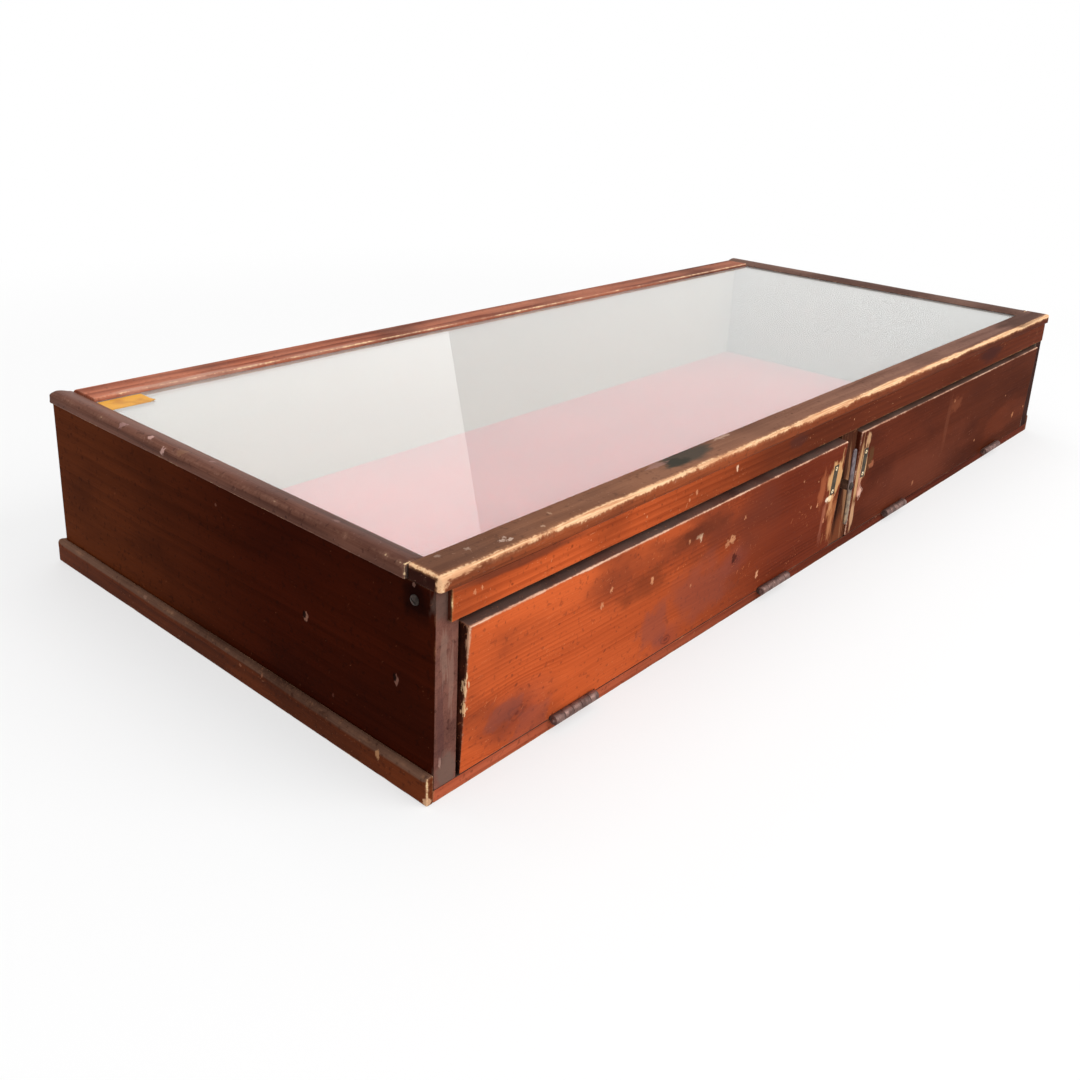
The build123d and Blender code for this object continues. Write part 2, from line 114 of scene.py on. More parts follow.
class Graph:
    """Short ways to add and join the nodes of one node tree."""

    def __init__(self, tree: bpy.types.NodeTree) -> None:
        """Keeps the tree that nodes are added to."""
        self.tree = tree

    @classmethod
    def effect(cls, name: str, outputs: str, **inputs: Value) -> "Graph":
        """Starts a node group that materials share.

        Args:
            name: the group's name.
            outputs: the names of its outputs. Vector is a vector and the others are numbers.
            inputs: each input's value where nothing is linked.

        Returns:
            A graph of the new group, with its entry and exit sockets.
        """
        tree = bpy.data.node_groups.new(name, "ShaderNodeTree")
        given = {label: ORIGIN if label == "Vector" else 0.0 for label in outputs.split()}
        for side, ports in (("INPUT", inputs), ("OUTPUT", given)):
            for label, value in ports.items():
                kind = "NodeSocketVector" if isinstance(value, tuple) else "NodeSocketFloat"
                port = tree.interface.new_socket(name=label, in_out=side, socket_type=kind)
                port.default_value = value
        graph = cls(tree)
        graph.entry = tree.nodes.new("NodeGroupInput").outputs
        graph.exit = tree.nodes.new("NodeGroupOutput").inputs
        return graph

    def group(self, **outputs: Socket) -> bpy.types.NodeTree:
        """Feeds the group's outputs.

        Args:
            outputs: what each output gets.

        Returns:
            The finished group.
        """
        for label, value in outputs.items():
            self.put(self.exit[label], value)
        return self.tree

    def put(self, socket: Socket, value: Value) -> None:
        """Links another socket to this one, or sets its value.

        Args:
            socket: the input that is fed.
            value: the other socket, or the value. Three numbers are a display colour on a colour
                socket, and four are a linear one.
        """
        if isinstance(value, Socket):
            self.tree.links.new(value, socket)
        elif socket.type == "RGBA" and len(value) == 3:
            socket.default_value = linear(value)
        else:
            socket.default_value = value

    def add(self, kind: str, values: dict | None = None, **settings: object) -> bpy.types.Node:
        """Adds a node.

        Args:
            kind: the node's type.
            values: what each input gets, by the input's name or number.
            settings: the node's own properties.

        Returns:
            The new node.
        """
        node = self.tree.nodes.new(kind)
        for key, setting in settings.items():
            setattr(node, key, setting)
        for key, value in (values or {}).items():
            self.put(node.inputs[key], value)
        return node

    def place(self, group: bpy.types.NodeTree, **values: Value) -> bpy.types.NodeOutputs:
        """Places a shared effect, whose inputs get the values, and returns its outputs."""
        return self.add("ShaderNodeGroup", values, node_tree=group).outputs

    def maths(self, operation: str, *values: Value) -> Socket:
        """Result of a Math node."""
        return self.add("ShaderNodeMath", dict(enumerate(values)), operation=operation).outputs[0]

    def times(self, first: Value, second: Value) -> Socket:
        """One number times another."""
        return self.maths("MULTIPLY", first, second)

    def plus(self, first: Value, second: Value) -> Socket:
        """One number plus another."""
        return self.maths("ADD", first, second)

    def minus(self, first: Value, second: Value) -> Socket:
        """One number less another."""
        return self.maths("SUBTRACT", first, second)

    def fitted(self, value: Value, factor: Value, shift: Value) -> Socket:
        """A number times a factor, plus a shift."""
        return self.maths("MULTIPLY_ADD", value, factor, shift)

    def vector(
        self, operation: str, *values: Value, output: str = "Vector", **named: Value
    ) -> Socket:
        """Result of a Vector Math node.

        Args:
            operation: what the node does.
            values: its inputs, in order.
            output: Vector, or Value where the result is a number.
            named: further inputs by name.

        Returns:
            The result.
        """
        inputs = {**dict(enumerate(values)), **named}
        return self.add("ShaderNodeVectorMath", inputs, operation=operation).outputs[output]

    def mix(self, share: Value, under: Value, over: Value) -> Socket:
        """Colour between two others.

        Args:
            share: how much of the colour on top shows, 0 to 1.
            under: the colour under it.
            over: the colour on top.

        Returns:
            The mixed colour.
        """
        node = self.add("ShaderNodeMix", data_type="RGBA", blend_type="MIX", clamp_factor=True)
        for number, value in ((MIX_SHARE, share), (MIX_UNDER, under), (MIX_OVER, over)):
            self.put(node.inputs[number], value)
        return node.outputs[MIX_RESULT]

    def lay(self, colour: Value, *layers: tuple[Value, Value, Value]) -> Value:
        """Lays thin layers over a colour.

        Args:
            colour: the colour under them.
            layers: each layer's mask, its strength and its colour.

        Returns:
            The colour with the layers on it.
        """
        for mask, strength, over in layers:
            colour = self.mix(self.times(mask, strength), colour, over)
        return colour

    def ramp(self, value: Value, start: Value, end: Value) -> Socket:
        """Smooth step from 0 at the start to 1 at the end."""
        ends = {"Value": value, "From Min": start, "From Max": end}
        return self.add("ShaderNodeMapRange", ends, interpolation_type="SMOOTHSTEP").outputs[0]

    def noise(self, place: Value, cells: float | Triple, detail: float = 2.0) -> Socket:
        """Noise from 0 to 1.

        Args:
            place: where it is read, in metres.
            cells: cells per metre, one number or one along each of X, Y and Z.
            detail: how many finer layers are added.

        Returns:
            The noise value.
        """
        fine = self.vector("MULTIPLY", place, cells if isinstance(cells, tuple) else (cells,) * 3)
        values = {"Vector": fine, "Scale": 1.0, "Detail": detail}
        return self.add("ShaderNodeTexNoise", values).outputs[0]

    def cells(self, place: Value, scale: Triple) -> tuple[Socket, bpy.types.NodeOutputs]:
        """Random cells, for scattered marks.

        Args:
            place: where they are read, in metres.
            scale: cells per metre along each axis.

        Returns:
            The distance from a cell's middle, and three random numbers for each cell.
        """
        fine = {"Vector": self.vector("MULTIPLY", place, scale), "Scale": 1.0}
        found = self.add("ShaderNodeTexVoronoi", fine).outputs
        random = self.add("ShaderNodeSeparateColor", {0: found["Color"]}).outputs
        return found["Distance"], random

    def axis(self, place: Value, axis: int) -> Socket:
        """One of the three numbers of a vector."""
        return self.add("ShaderNodeSeparateXYZ", {0: place}).outputs[axis]

    def bump(self, height: Value, strength: float, distance: float) -> Socket:
        """Normal that a fine relief gives, its depth in metres."""
        values = {"Height": height, "Strength": strength, "Distance": distance}
        return self.add("ShaderNodeBump", values).outputs[0]

    def surface(self, **values: Value) -> Socket:
        """Principled surface, its inputs by name with underscores for spaces."""
        named = {key.replace("_", " "): value for key, value in values.items()}
        return self.add("ShaderNodeBsdfPrincipled", named).outputs[0]

    def coordinate(self, name: str) -> Socket:
        """Object or Normal coordinates of the surface, in the piece's own frame."""
        return self.add("ShaderNodeTexCoord").outputs[name]


@cache
def grain_effect() -> bpy.types.NodeTree:
    """Growth rings, fine fibre and broad figure of sawn softwood, running along X.

    Returns:
        The node group.
    """
    graph = Graph.effect("Wood grain", "Ring Fibre Figure", Vector=ORIGIN, Pitch=150.0, Wander=3.0)
    place = graph.entry["Vector"]
    swell = graph.noise(place, (1.5, 11.0, 11.0), 1.5)
    waver = graph.noise(place, (9.0, 70.0, 70.0), 2.0)
    across = graph.vector("DOT_PRODUCT", place, (0.0, 0.42, 1.0), output="Value")
    phase = graph.times(across, graph.entry["Pitch"])
    phase = graph.plus(phase, graph.times(swell, graph.entry["Wander"]))
    tooth = graph.maths("FRACT", graph.fitted(waver, 0.8, phase))
    line = graph.times(graph.ramp(tooth, 0.1, 0.86), graph.ramp(tooth, 1.0, 0.86))
    fading = graph.ramp(graph.noise(place, (4.0, 40.0, 40.0), 2.0), 0.36, 0.66)
    return graph.group(
        Ring=graph.times(line, fading),
        Fibre=graph.noise(place, (18.0, 800.0, 800.0), 3.0),
        Figure=graph.noise(place, (3.0, 30.0, 30.0), 4.0),
    )


@cache
def knot_effect() -> bpy.types.NodeTree:
    """One knot: its core, the stain round it, and the grain drawn aside by it.

    Returns:
        The node group.
    """
    graph = Graph.effect("Knot", "Core Stain Vector", Vector=ORIGIN, Centre=ORIGIN, Radius=0.01)
    place = graph.entry["Vector"]
    offset = graph.vector("SUBTRACT", place, graph.entry["Centre"])
    flat = graph.vector("MULTIPLY", offset, (0.62, 0.0, 1.0))
    distance = graph.vector("LENGTH", flat, output="Value")
    away = graph.maths("DIVIDE", distance, graph.entry["Radius"])
    ragged = graph.noise(place, (90.0, 90.0, 160.0), 3.0)
    edge = graph.fitted(ragged, 1.1, graph.minus(away, 0.55))
    rings = graph.maths("SINE", graph.times(edge, 13.0))
    pull = graph.maths("EXPONENT", graph.times(graph.times(away, away), -0.16))
    aside = graph.vector("MULTIPLY", offset, (0.0, 0.0, -0.8))
    return graph.group(
        Core=graph.times(graph.ramp(edge, 1.2, 0.2), graph.fitted(rings, 0.35, 0.55)),
        Stain=graph.ramp(edge, 3.4, 0.6),
        Vector=graph.vector("ADD", place, graph.vector("SCALE", aside, Scale=pull)),
    )


@cache
def wear_effect() -> bpy.types.NodeTree:
    """Finish rubbed and chipped off an arris, with a ragged border.

    Returns:
        The node group.
    """
    graph = Graph.effect("Edge wear", "Bare Rubbed", Worn=0.0, Vector=ORIGIN, Ragged=0.6, Soft=0.1)
    place, worn, soft = (graph.entry[name] for name in ("Vector", "Worn", "Soft"))
    fine, broad = graph.noise(place, 420.0, 3.0), graph.noise(place, 55.0, 2.0)
    uneven = graph.minus(graph.plus(fine, broad), 1.0)
    level = graph.fitted(uneven, graph.entry["Ragged"], worn)
    held = graph.ramp(worn, 0.02, 0.2)
    bare = graph.ramp(level, graph.minus(0.52, soft), graph.plus(0.52, soft))
    return graph.group(
        Bare=graph.times(bare, held), Rubbed=graph.times(graph.ramp(level, 0.0, 0.6), held)
    )


# Turn, and cells per metre along and across, of each family of scratches.
SCRATCH_FAMILIES = (
    (0.08, (16.0, 520.0, 520.0)),
    (1.25, (50.0, 330.0, 330.0)),
    (0.7, (75.0, 560.0, 560.0)),
    (-0.9, (60.0, 480.0, 480.0)),
)


@cache
def scratch_effect() -> bpy.types.NodeTree:
    """Scattered scratches of many lengths and strengths, and small dents, thicker in some places.

    Returns:
        The node group.
    """
    graph = Graph.effect("Scratches", "Scratch Dent", Vector=ORIGIN, Share=0.2)
    place, share = graph.entry["Vector"], graph.entry["Share"]
    bent = graph.vector("ADD", place, graph.fitted(graph.noise(place, 70.0), 0.016, -0.008))
    crowded = graph.times(share, graph.ramp(graph.noise(place, 11.0), 0.35, 0.62))
    marks: Value = 0.0
    for turn, shape in SCRATCH_FAMILIES:
        rotation, location = (0.3 * turn, turn, 0.8 * turn), (turn, 0.0, turn)
        values = {"Vector": bent, "Rotation": rotation, "Location": location}
        turned_place = graph.add("ShaderNodeMapping", values).outputs[0]
        distance, chance = graph.cells(turned_place, shape)
        kept = graph.times(graph.maths("LESS_THAN", chance[0], crowded), chance[1])
        mark = graph.times(graph.ramp(distance, graph.fitted(chance[2], 0.2, 0.08), 0.04), kept)
        marks = graph.maths("MAXIMUM", marks, mark)
    distance, chance = graph.cells(bent, (95.0, 95.0, 95.0))
    dent = graph.times(graph.ramp(distance, 0.17, 0.06), graph.maths("LESS_THAN", chance[1], share))
    return graph.group(Scratch=marks, Dent=dent)


@cache
def grime_effect() -> bpy.types.NodeTree:
    """Handling marks, dirt in the pores, and a pale layer on upward faces, partly dust and partly
    painted sheen.

    Returns:
        The node group.
    """
    graph = Graph.effect("Grime", "Patch Speck Dust", Vector=ORIGIN, Normal=UP)
    place = graph.entry["Vector"]
    upward = graph.ramp(graph.axis(graph.entry["Normal"], Z), 0.5, 0.95)
    return graph.group(
        Patch=graph.ramp(graph.noise(place, (8.0, 8.0, 13.0), 4.0), 0.46, 0.7),
        Speck=graph.ramp(graph.noise(place, 230.0), 0.58, 0.72),
        Dust=graph.times(upward, graph.ramp(graph.noise(place, 26.0, 5.0), 0.2, 0.75)),
    )


@cache
def spot_effect() -> bpy.types.NodeTree:
    """A ragged oval patch at one place.

    Returns:
        The node group.
    """
    graph = Graph.effect(
        "Spot", "Inside", Vector=ORIGIN, Centre=ORIGIN, Reach=(0.01, 0.01, 0.01), Ragged=0.4,
        Soft=0.15
    )
    centre, soft = graph.entry["Centre"], graph.entry["Soft"]
    offset = graph.vector("SUBTRACT", graph.entry["Vector"], centre)
    shape = graph.vector("DIVIDE", offset, graph.entry["Reach"])
    away = graph.vector("LENGTH", shape, output="Value")
    apart = graph.vector("ADD", shape, graph.vector("SCALE", centre, Scale=91.0))
    uneven = graph.minus(graph.noise(apart, (1.5, 1.5, 1.1), 4.0), 0.5)
    edge = graph.fitted(uneven, graph.times(graph.entry["Ragged"], 4.0), away)
    return graph.group(Inside=graph.ramp(edge, graph.plus(1.0, soft), graph.minus(1.0, soft)))


@cache
def face_effect() -> bpy.types.NodeTree:
    """Mask of the faces that look one way.

    Returns:
        The node group.
    """
    graph = Graph.effect("Facing", "Facing", Normal=UP, Direction=UP)
    ends = graph.entry["Normal"], graph.entry["Direction"]
    agreement = graph.vector("DOT_PRODUCT", *ends, output="Value")
    return graph.group(Facing=graph.ramp(agreement, 0.62, 0.86))


@cache
def tarnish_effect() -> bpy.types.NodeTree:
    """Cloudy tarnish, rust freckles and fine rubbing on metal.

    Returns:
        The node group.
    """
    graph = Graph.effect("Tarnish", "Cloud Rust Rub", Vector=ORIGIN)
    place = graph.entry["Vector"]
    return graph.group(
        Cloud=graph.ramp(graph.noise(place, 160.0, 4.0), 0.3, 0.7),
        Rust=graph.ramp(graph.noise(place, 420.0, 4.0), 0.58, 0.68),
        Rub=graph.noise(place, (1800.0, 500.0, 1800.0)),
    )


def seen_directly(graph: Graph) -> Socket:
    """Mask of the rays that see, mirror or look through to a surface, and don't light others.

    Args:
        graph: the material's graph.

    Returns:
        1 for those rays and 0 for the others.
    """
    path = graph.add("ShaderNodeLightPath").outputs
    seen = graph.maths("MAXIMUM", path["Is Camera Ray"], path["Is Glossy Ray"])
    return graph.maths("MAXIMUM", seen, path["Is Transmission Ray"])


# ---- Finishes --------------------------------------------------------------------------------


class Grain(Enum):
    """The way that a board's grain runs, as a turn that brings it to X."""

    ALONG_X = ORIGIN
    ALONG_Y = (0.0, 0.0, -math.pi / 2)
    ALONG_Z = (0.0, math.pi / 2, 0.0)


@dataclass(frozen=True)
class Knot:
    """A knot on a face that looks along Y."""

    x: float
    z: float
    radius: float


@dataclass(frozen=True)
class Spot:
    """A stain, scrape, filled nail hole or painted shadow at one place on a board."""

    centre: Triple
    reach: Triple
    colour: Colour
    share: float = 0.9
    ragged: float = 0.35
    soft: float = 0.2


@dataclass(frozen=True)
class Facing:
    """Colours of the faces that look one way, and at the gradient's far end; some are painted
    light.
    """

    direction: Triple
    light: Colour
    dark: Colour
    painted: bool = False
    far: tuple[Colour, Colour] | None = None


@dataclass(frozen=True)
class Finish:
    """A material and the record's slot for it, empty for a piece that the record leaves out."""

    name: str
    slot: str

    def shade(self, graph: Graph) -> Socket:
        """Builds the surface and returns the shader socket."""
        raise NotImplementedError

    def material(self) -> bpy.types.Material:
        """The finish's Blender material, made once.

        Returns:
            The material.
        """
        made = bpy.data.materials.get(self.name)
        if made is None:
            made = bpy.data.materials.new(self.name)
            made.use_nodes = True
            made.node_tree.nodes.clear()
            graph = Graph(made.node_tree)
            graph.add("ShaderNodeOutputMaterial", {"Surface": self.shade(graph)})
        return made

    def dress(self, piece: bpy.types.Object) -> None:
        """Puts the finish on a piece, whose own materials go.

        Args:
            piece: the piece.
        """
        if "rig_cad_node" in piece:
            piece.material_slots[0].link = "OBJECT"
            piece.material_slots[0].material = self.material()
            return
        piece.data.materials.clear()
        piece.data.materials.append(self.material())


@dataclass(frozen=True)
class Wood(Finish):
    """Stained, varnished softwood: grain, knots, wear, marks, dust, and on some finishes painted
    light.
    """

    light: Colour
    dark: Colour
    # The gradient's far colours; on several finishes they are painted light and shade.
    far_light: Colour | None = None
    far_dark: Colour | None = None
    fade: tuple[float, float] = (-0.58, 0.58)
    gradient_axis: int = X
    grain: Grain = Grain.ALONG_X
    pitch: float = 150.0
    wander: float = 3.0
    ring_share: float = 0.5
    bare: Colour = (222, 178, 122)
    pale: Colour = (236, 205, 158)
    ragged: float = 0.7
    soft: float = 0.12
    scratches: float = 0.12
    scratch_share: float = 0.5
    scratch: Colour = (226, 160, 114)
    grime: Colour = (60, 30, 22)
    grime_share: float = 0.35
    # Pale layer on upward faces: partly dust, partly painted sheen.
    dust: Colour = (150, 130, 118)
    dust_and_sheen_share: float = 0.25
    knot_stain: Colour = (124, 66, 62)
    knot_core: Colour = (70, 32, 34)
    knot_stain_share: float = 0.32
    knot_core_share: float = 0.75
    speck_share: float = 0.4
    dent_share: float = 0.6
    rubbed_share: float = 0.6
    roughness: float = 0.42
    gloss: float = 0.003
    relief: float = 0.12 * MM
    knots: tuple[Knot, ...] = ()
    facings: tuple[Facing, ...] = ()
    spots: tuple[Spot, ...] = ()

    def faded(self, graph: Graph, place: Socket) -> Socket:
        """How far a point is along the board's colour gradient, from 0 to 1."""
        return graph.ramp(graph.axis(place, self.gradient_axis), *self.fade)

    def faced(
        self, graph: Graph, colour: Socket, place: Socket, normal: Socket, tone: Socket,
        painted: bool
    ) -> Socket:
        """Lays the colours of the faces that look one way over another colour.

        Args:
            graph: the material's graph.
            colour: the colour under them.
            place: object coordinates.
            normal: object normal.
            tone: 0 for the light wood and 1 for the dark lines.
            painted: whether the painted faces are laid, or the others.

        Returns:
            The colour.
        """
        for facing in self.facings:
            if facing.painted == painted:
                mask = graph.place(face_effect(), Normal=normal, Direction=facing.direction)
                own = graph.mix(tone, facing.light, facing.dark)
                if facing.far:
                    own = graph.mix(self.faded(graph, place), own, graph.mix(tone, *facing.far))
                colour = graph.mix(mask["Facing"], colour, own)
        return colour

    def shade(self, graph: Graph) -> Socket:
        """Builds the wood's surface.

        Args:
            graph: the material's graph.

        Returns:
            The shader socket.
        """
        place, normal = graph.coordinate("Object"), graph.coordinate("Normal")
        drawn, core, stain = place, 0.0, 0.0
        for knot in self.knots:
            centre = (knot.x, 0.0, knot.z)
            parts = graph.place(knot_effect(), Vector=drawn, Centre=centre, Radius=knot.radius)
            core = graph.maths("MAXIMUM", core, parts["Core"])
            stain = graph.maths("MAXIMUM", stain, parts["Stain"])
            drawn = parts["Vector"]
        values = {"Vector": drawn, "Rotation": self.grain.value}
        turned_place = graph.add("ShaderNodeMapping", values).outputs[0]
        grain = graph.place(
            grain_effect(), Vector=turned_place, Pitch=self.pitch, Wander=self.wander
        )
        grime = graph.place(grime_effect(), Vector=place, Normal=normal)
        marks = graph.place(scratch_effect(), Vector=place, Share=self.scratches)
        worn = graph.add("ShaderNodeAttribute", attribute_name="worn").outputs["Fac"]
        wear = graph.place(
            wear_effect(), Worn=worn, Vector=place, Ragged=self.ragged, Soft=self.soft
        )
        tone = graph.plus(
            graph.times(grain["Ring"], self.ring_share), graph.fitted(grain["Fibre"], 0.9, -0.45)
        )
        tone = graph.plus(tone, graph.fitted(grain["Figure"], 1.5, -0.5))
        colour = graph.mix(tone, self.light, self.dark)
        # Colour gradient along one axis, on several finishes painted light and shade.
        if self.far_light and self.far_dark:
            far = graph.mix(tone, self.far_light, self.far_dark)
            colour = graph.mix(self.faded(graph, place), colour, far)
        colour = self.faced(graph, colour, place, normal, tone, painted=False)
        colour = graph.lay(
            colour,
            (stain, self.knot_stain_share, self.knot_stain),
            (core, self.knot_core_share, self.knot_core),
            (grime["Patch"], self.grime_share, self.grime),
            (grime["Speck"], self.speck_share, self.grime),
            (marks["Scratch"], self.scratch_share, self.scratch),
            (marks["Dent"], self.dent_share, self.grime),
        )
        thin = graph.mix(0.5, colour, self.bare)
        colour = graph.lay(colour, (wear["Rubbed"], self.rubbed_share, thin))
        bare = graph.mix(graph.ramp(grain["Fibre"], 0.3, 0.62), self.bare, self.pale)
        colour = graph.mix(wear["Bare"], colour, bare)
        colour = self.faced(graph, colour, place, normal, tone, painted=True)
        # Pale layer on upward faces, partly dust and partly painted sheen.
        dust = graph.times(grime["Dust"], self.dust_and_sheen_share)
        colour = graph.mix(dust, colour, self.dust)
        for spot in self.spots:
            inside = graph.place(
                spot_effect(), Vector=place, Centre=spot.centre, Reach=spot.reach,
                Ragged=spot.ragged, Soft=spot.soft
            )["Inside"]
            colour = graph.lay(colour, (inside, spot.share, spot.colour))
        rough = graph.fitted(grain["Figure"], 0.2, self.roughness - 0.1)
        rough = graph.fitted(dust, 0.4, graph.fitted(wear["Rubbed"], 0.22, rough))
        height = graph.fitted(grain["Fibre"], 0.5, graph.times(tone, -0.35))
        height = graph.minus(height, graph.times(marks["Scratch"], 1.2))
        height = graph.minus(height, graph.times(wear["Bare"], 0.8))
        return graph.surface(
            Base_Color=colour, Roughness=rough, Specular_IOR_Level=self.gloss,
            Normal=graph.bump(height, 0.5, self.relief)
        )


@dataclass(frozen=True)
class Metal(Finish):
    """Aged metal: clouded, freckled with rust and rubbed bright in places."""

    colour: Colour
    tarnish: Colour
    rust: Colour = (92, 58, 44)
    tarnish_share: float = 0.8
    rust_share: float = 0.5
    roughness: float = 0.45
    metallic: float = 0.75
    low_colour: Colour | None = None
    fade: tuple[float, float] = (0.06, 0.09)

    def shade(self, graph: Graph) -> Socket:
        """Builds the metal's surface.

        Args:
            graph: the material's graph.

        Returns:
            The shader socket.
        """
        place = graph.coordinate("Object")
        tarnish = graph.place(tarnish_effect(), Vector=place)
        cloud = graph.times(tarnish["Cloud"], self.tarnish_share)
        rust = graph.times(tarnish["Rust"], self.rust_share)
        plain: Value = self.colour
        if self.low_colour:
            level = graph.ramp(graph.axis(place, Z), *self.fade)
            plain = graph.mix(level, self.low_colour, self.colour)
        height = graph.fitted(tarnish["Rub"], 0.3, tarnish["Cloud"])
        return graph.surface(
            Base_Color=graph.mix(rust, graph.mix(cloud, plain, self.tarnish), self.rust),
            Roughness=graph.fitted(rust, 0.3, graph.fitted(cloud, 0.2, self.roughness)),
            Metallic=graph.fitted(rust, -0.7 * self.metallic, self.metallic),
            Normal=graph.bump(height, 0.35, 0.12 * MM),
        )


@dataclass(frozen=True)
class Glass(Finish):
    """Clear float glass with a trace of green and a few smears, under a pale film, partly dust and
    partly painted reflection.
    """

    colour: tuple[float, ...] = (0.93, 0.965, 0.95, 1.0)
    refraction: float = 1.52
    # The share not let through is a pale diffuse film: partly dust, partly painted reflection.
    clearness: float = 0.86

    def shade(self, graph: Graph) -> Socket:
        """Builds the pane's surface, which lets the lamps' light through.

        Args:
            graph: the material's graph.

        Returns:
            The shader socket.
        """
        place = graph.coordinate("Object")
        smear = graph.ramp(graph.noise(place, (5.0, 24.0, 5.0), 4.0), 0.52, 0.8)
        pane = graph.surface(
            Base_Color=self.colour, Roughness=graph.times(smear, 0.025), IOR=self.refraction,
            Transmission_Weight=self.clearness
        )
        clear = graph.add("ShaderNodeBsdfTransparent", {"Color": self.colour}).outputs[0]
        lamp = graph.add("ShaderNodeLightPath").outputs["Is Shadow Ray"]
        return graph.add("ShaderNodeMixShader", {0: lamp, 1: pane, 2: clear}).outputs[0]


@dataclass(frozen=True)
class Felt(Finish):
    """Red felt: matted fibres, a soft nap and a little faded dust."""

    colour: Colour = (202, 40, 48)
    deep: Colour = (164, 22, 32)
    faded: Colour = (212, 84, 84)
    nap: Colour = (235, 150, 140)

    def shade(self, graph: Graph) -> Socket:
        """Builds the felt's surface.

        Args:
            graph: the material's graph.

        Returns:
            The shader socket.
        """
        place = graph.coordinate("Object")
        fibre, matted = graph.noise(place, 1500.0, 3.0), graph.noise(place, 240.0, 4.0)
        colour = graph.lay(
            graph.mix(graph.ramp(matted, 0.3, 0.7), self.deep, self.colour),
            (graph.ramp(graph.noise(place, 3.2, 4.0), 0.4, 0.75), 0.6, self.faded),
            (graph.ramp(fibre, 0.6, 0.8), 0.3, self.faded),
        )
        return graph.surface(
            Base_Color=colour, Roughness=0.95, Sheen_Weight=0.35, Sheen_Roughness=0.5,
            Sheen_Tint=self.nap, Specular_IOR_Level=0.2,
            Normal=graph.bump(graph.plus(fibre, matted), 0.6, 0.4 * MM)
        )


@dataclass(frozen=True)
class Paper(Finish):
    """Coloured label paper, a little soiled and creased."""

    colour: Colour = (216, 152, 34)
    soiled: Colour = (188, 120, 18)

    def shade(self, graph: Graph) -> Socket:
        """Builds the paper's surface.

        Args:
            graph: the material's graph.

        Returns:
            The shader socket.
        """
        place = graph.coordinate("Object")
        soil = graph.ramp(graph.noise(place, 70.0, 4.0), 0.42, 0.75)
        return graph.surface(
            Base_Color=graph.mix(soil, self.colour, self.soiled), Roughness=0.6,
            Normal=graph.bump(graph.noise(place, 2200.0), 0.3, 0.05 * MM)
        )


@dataclass(frozen=True)
class Ground(Finish):
    """The plain pale floor that the case stands on."""

    colour: tuple[float, ...] = (0.84, 0.84, 0.84, 1.0)
    glow: float = 0.6
    reach: tuple[float, float] = (0.7, 1.7)

    def shade(self, graph: Graph) -> Socket:
        """Builds the floor's surface, which is seen as white away from the case.

        Args:
            graph: the material's graph.

        Returns:
            The shader socket.
        """
        plain = graph.surface(Base_Color=self.colour, Roughness=0.9, Specular_IOR_Level=0.1)
        white = graph.add("ShaderNodeEmission", {"Color": WHITE, "Strength": 1.0}).outputs[0]
        distance = graph.vector("LENGTH", graph.coordinate("Object"), output="Value")
        glow = graph.fitted(graph.ramp(distance, *self.reach), 1 - self.glow, self.glow)
        share = graph.times(seen_directly(graph), glow)
        return graph.add("ShaderNodeMixShader", {0: share, 1: plain, 2: white}).outputs[0]


# ---- Mesh building ---------------------------------------------------------------------------

Corners = list[tuple[int, ...]]
Profile = Sequence[tuple[float, float]]

RIPPLE_CELLS = 997


def ripple(along: np.ndarray, wavelength: float, seed: int) -> np.ndarray:
    """Value from 0 to 1 that wanders smoothly along a line.

    Args:
        along: places on the line, in metres.
        wavelength: distance between the random values, in metres.
        seed: which random values are used.

    Returns:
        The value at each place.
    """
    table = np.random.default_rng(seed).random(RIPPLE_CELLS)
    cell = along / wavelength
    first = np.floor(cell).astype(int)
    share = cell - first
    share = share * share * (3 - 2 * share)
    before, after = table[first % RIPPLE_CELLS], table[(first + 1) % RIPPLE_CELLS]
    return before * (1 - share) + after * share


def placed(name: str, data: bpy.types.ID) -> bpy.types.Object:
    """A new object in the scene, at the origin.

    Args:
        name: its name.
        data: its mesh, lamp or camera.

    Returns:
        The object.
    """
    piece = bpy.data.objects.new(name, data)
    bpy.context.scene.collection.objects.link(piece)
    return piece


def mesh_object(name: str, points: np.ndarray, faces: Iterable) -> bpy.types.Object:
    """A new object with a mesh.

    Args:
        name: the piece's name.
        points: its corners, in metres.
        faces: the corners of each face.

    Returns:
        The object.
    """
    mesh = bpy.data.meshes.new(name)
    corners = [tuple(int(number) for number in face) for face in faces]
    mesh.from_pydata([tuple(point) for point in points], [], corners)
    mesh.validate()
    return placed(name, mesh)


def smooth(piece: bpy.types.Object, angle: float = 38.0) -> bpy.types.Object:
    """Shades a piece smooth apart from its sharp edges.

    Args:
        piece: the piece.
        angle: the least angle of a sharp edge, in degrees.

    Returns:
        The piece.
    """
    piece.data.shade_smooth()
    piece.data.set_sharp_from_angle(angle=math.radians(angle))
    return piece


def combine(
    piece: bpy.types.Object, tools: Sequence[bpy.types.Object], operation: str = "DIFFERENCE"
) -> bpy.types.Object:
    """Cuts tools out of a piece or adds them to it, and removes the tools.

    Args:
        piece: the piece that is changed.
        tools: closed shapes.
        operation: DIFFERENCE or UNION.

    Returns:
        The piece, shaded smooth.
    """
    for tool in tools:
        modifier = piece.modifiers.new("shape", "BOOLEAN")
        modifier.operation, modifier.solver, modifier.object = operation, "EXACT", tool
    bpy.context.view_layer.update()
    graph = bpy.context.evaluated_depsgraph_get()
    changed = bpy.data.meshes.new_from_object(piece.evaluated_get(graph))
    piece.modifiers.clear()
    old = piece.data
    changed.name = old.name
    piece.data = changed
    bpy.data.meshes.remove(old)
    for tool in tools:
        bpy.data.objects.remove(tool)
    return smooth(piece)


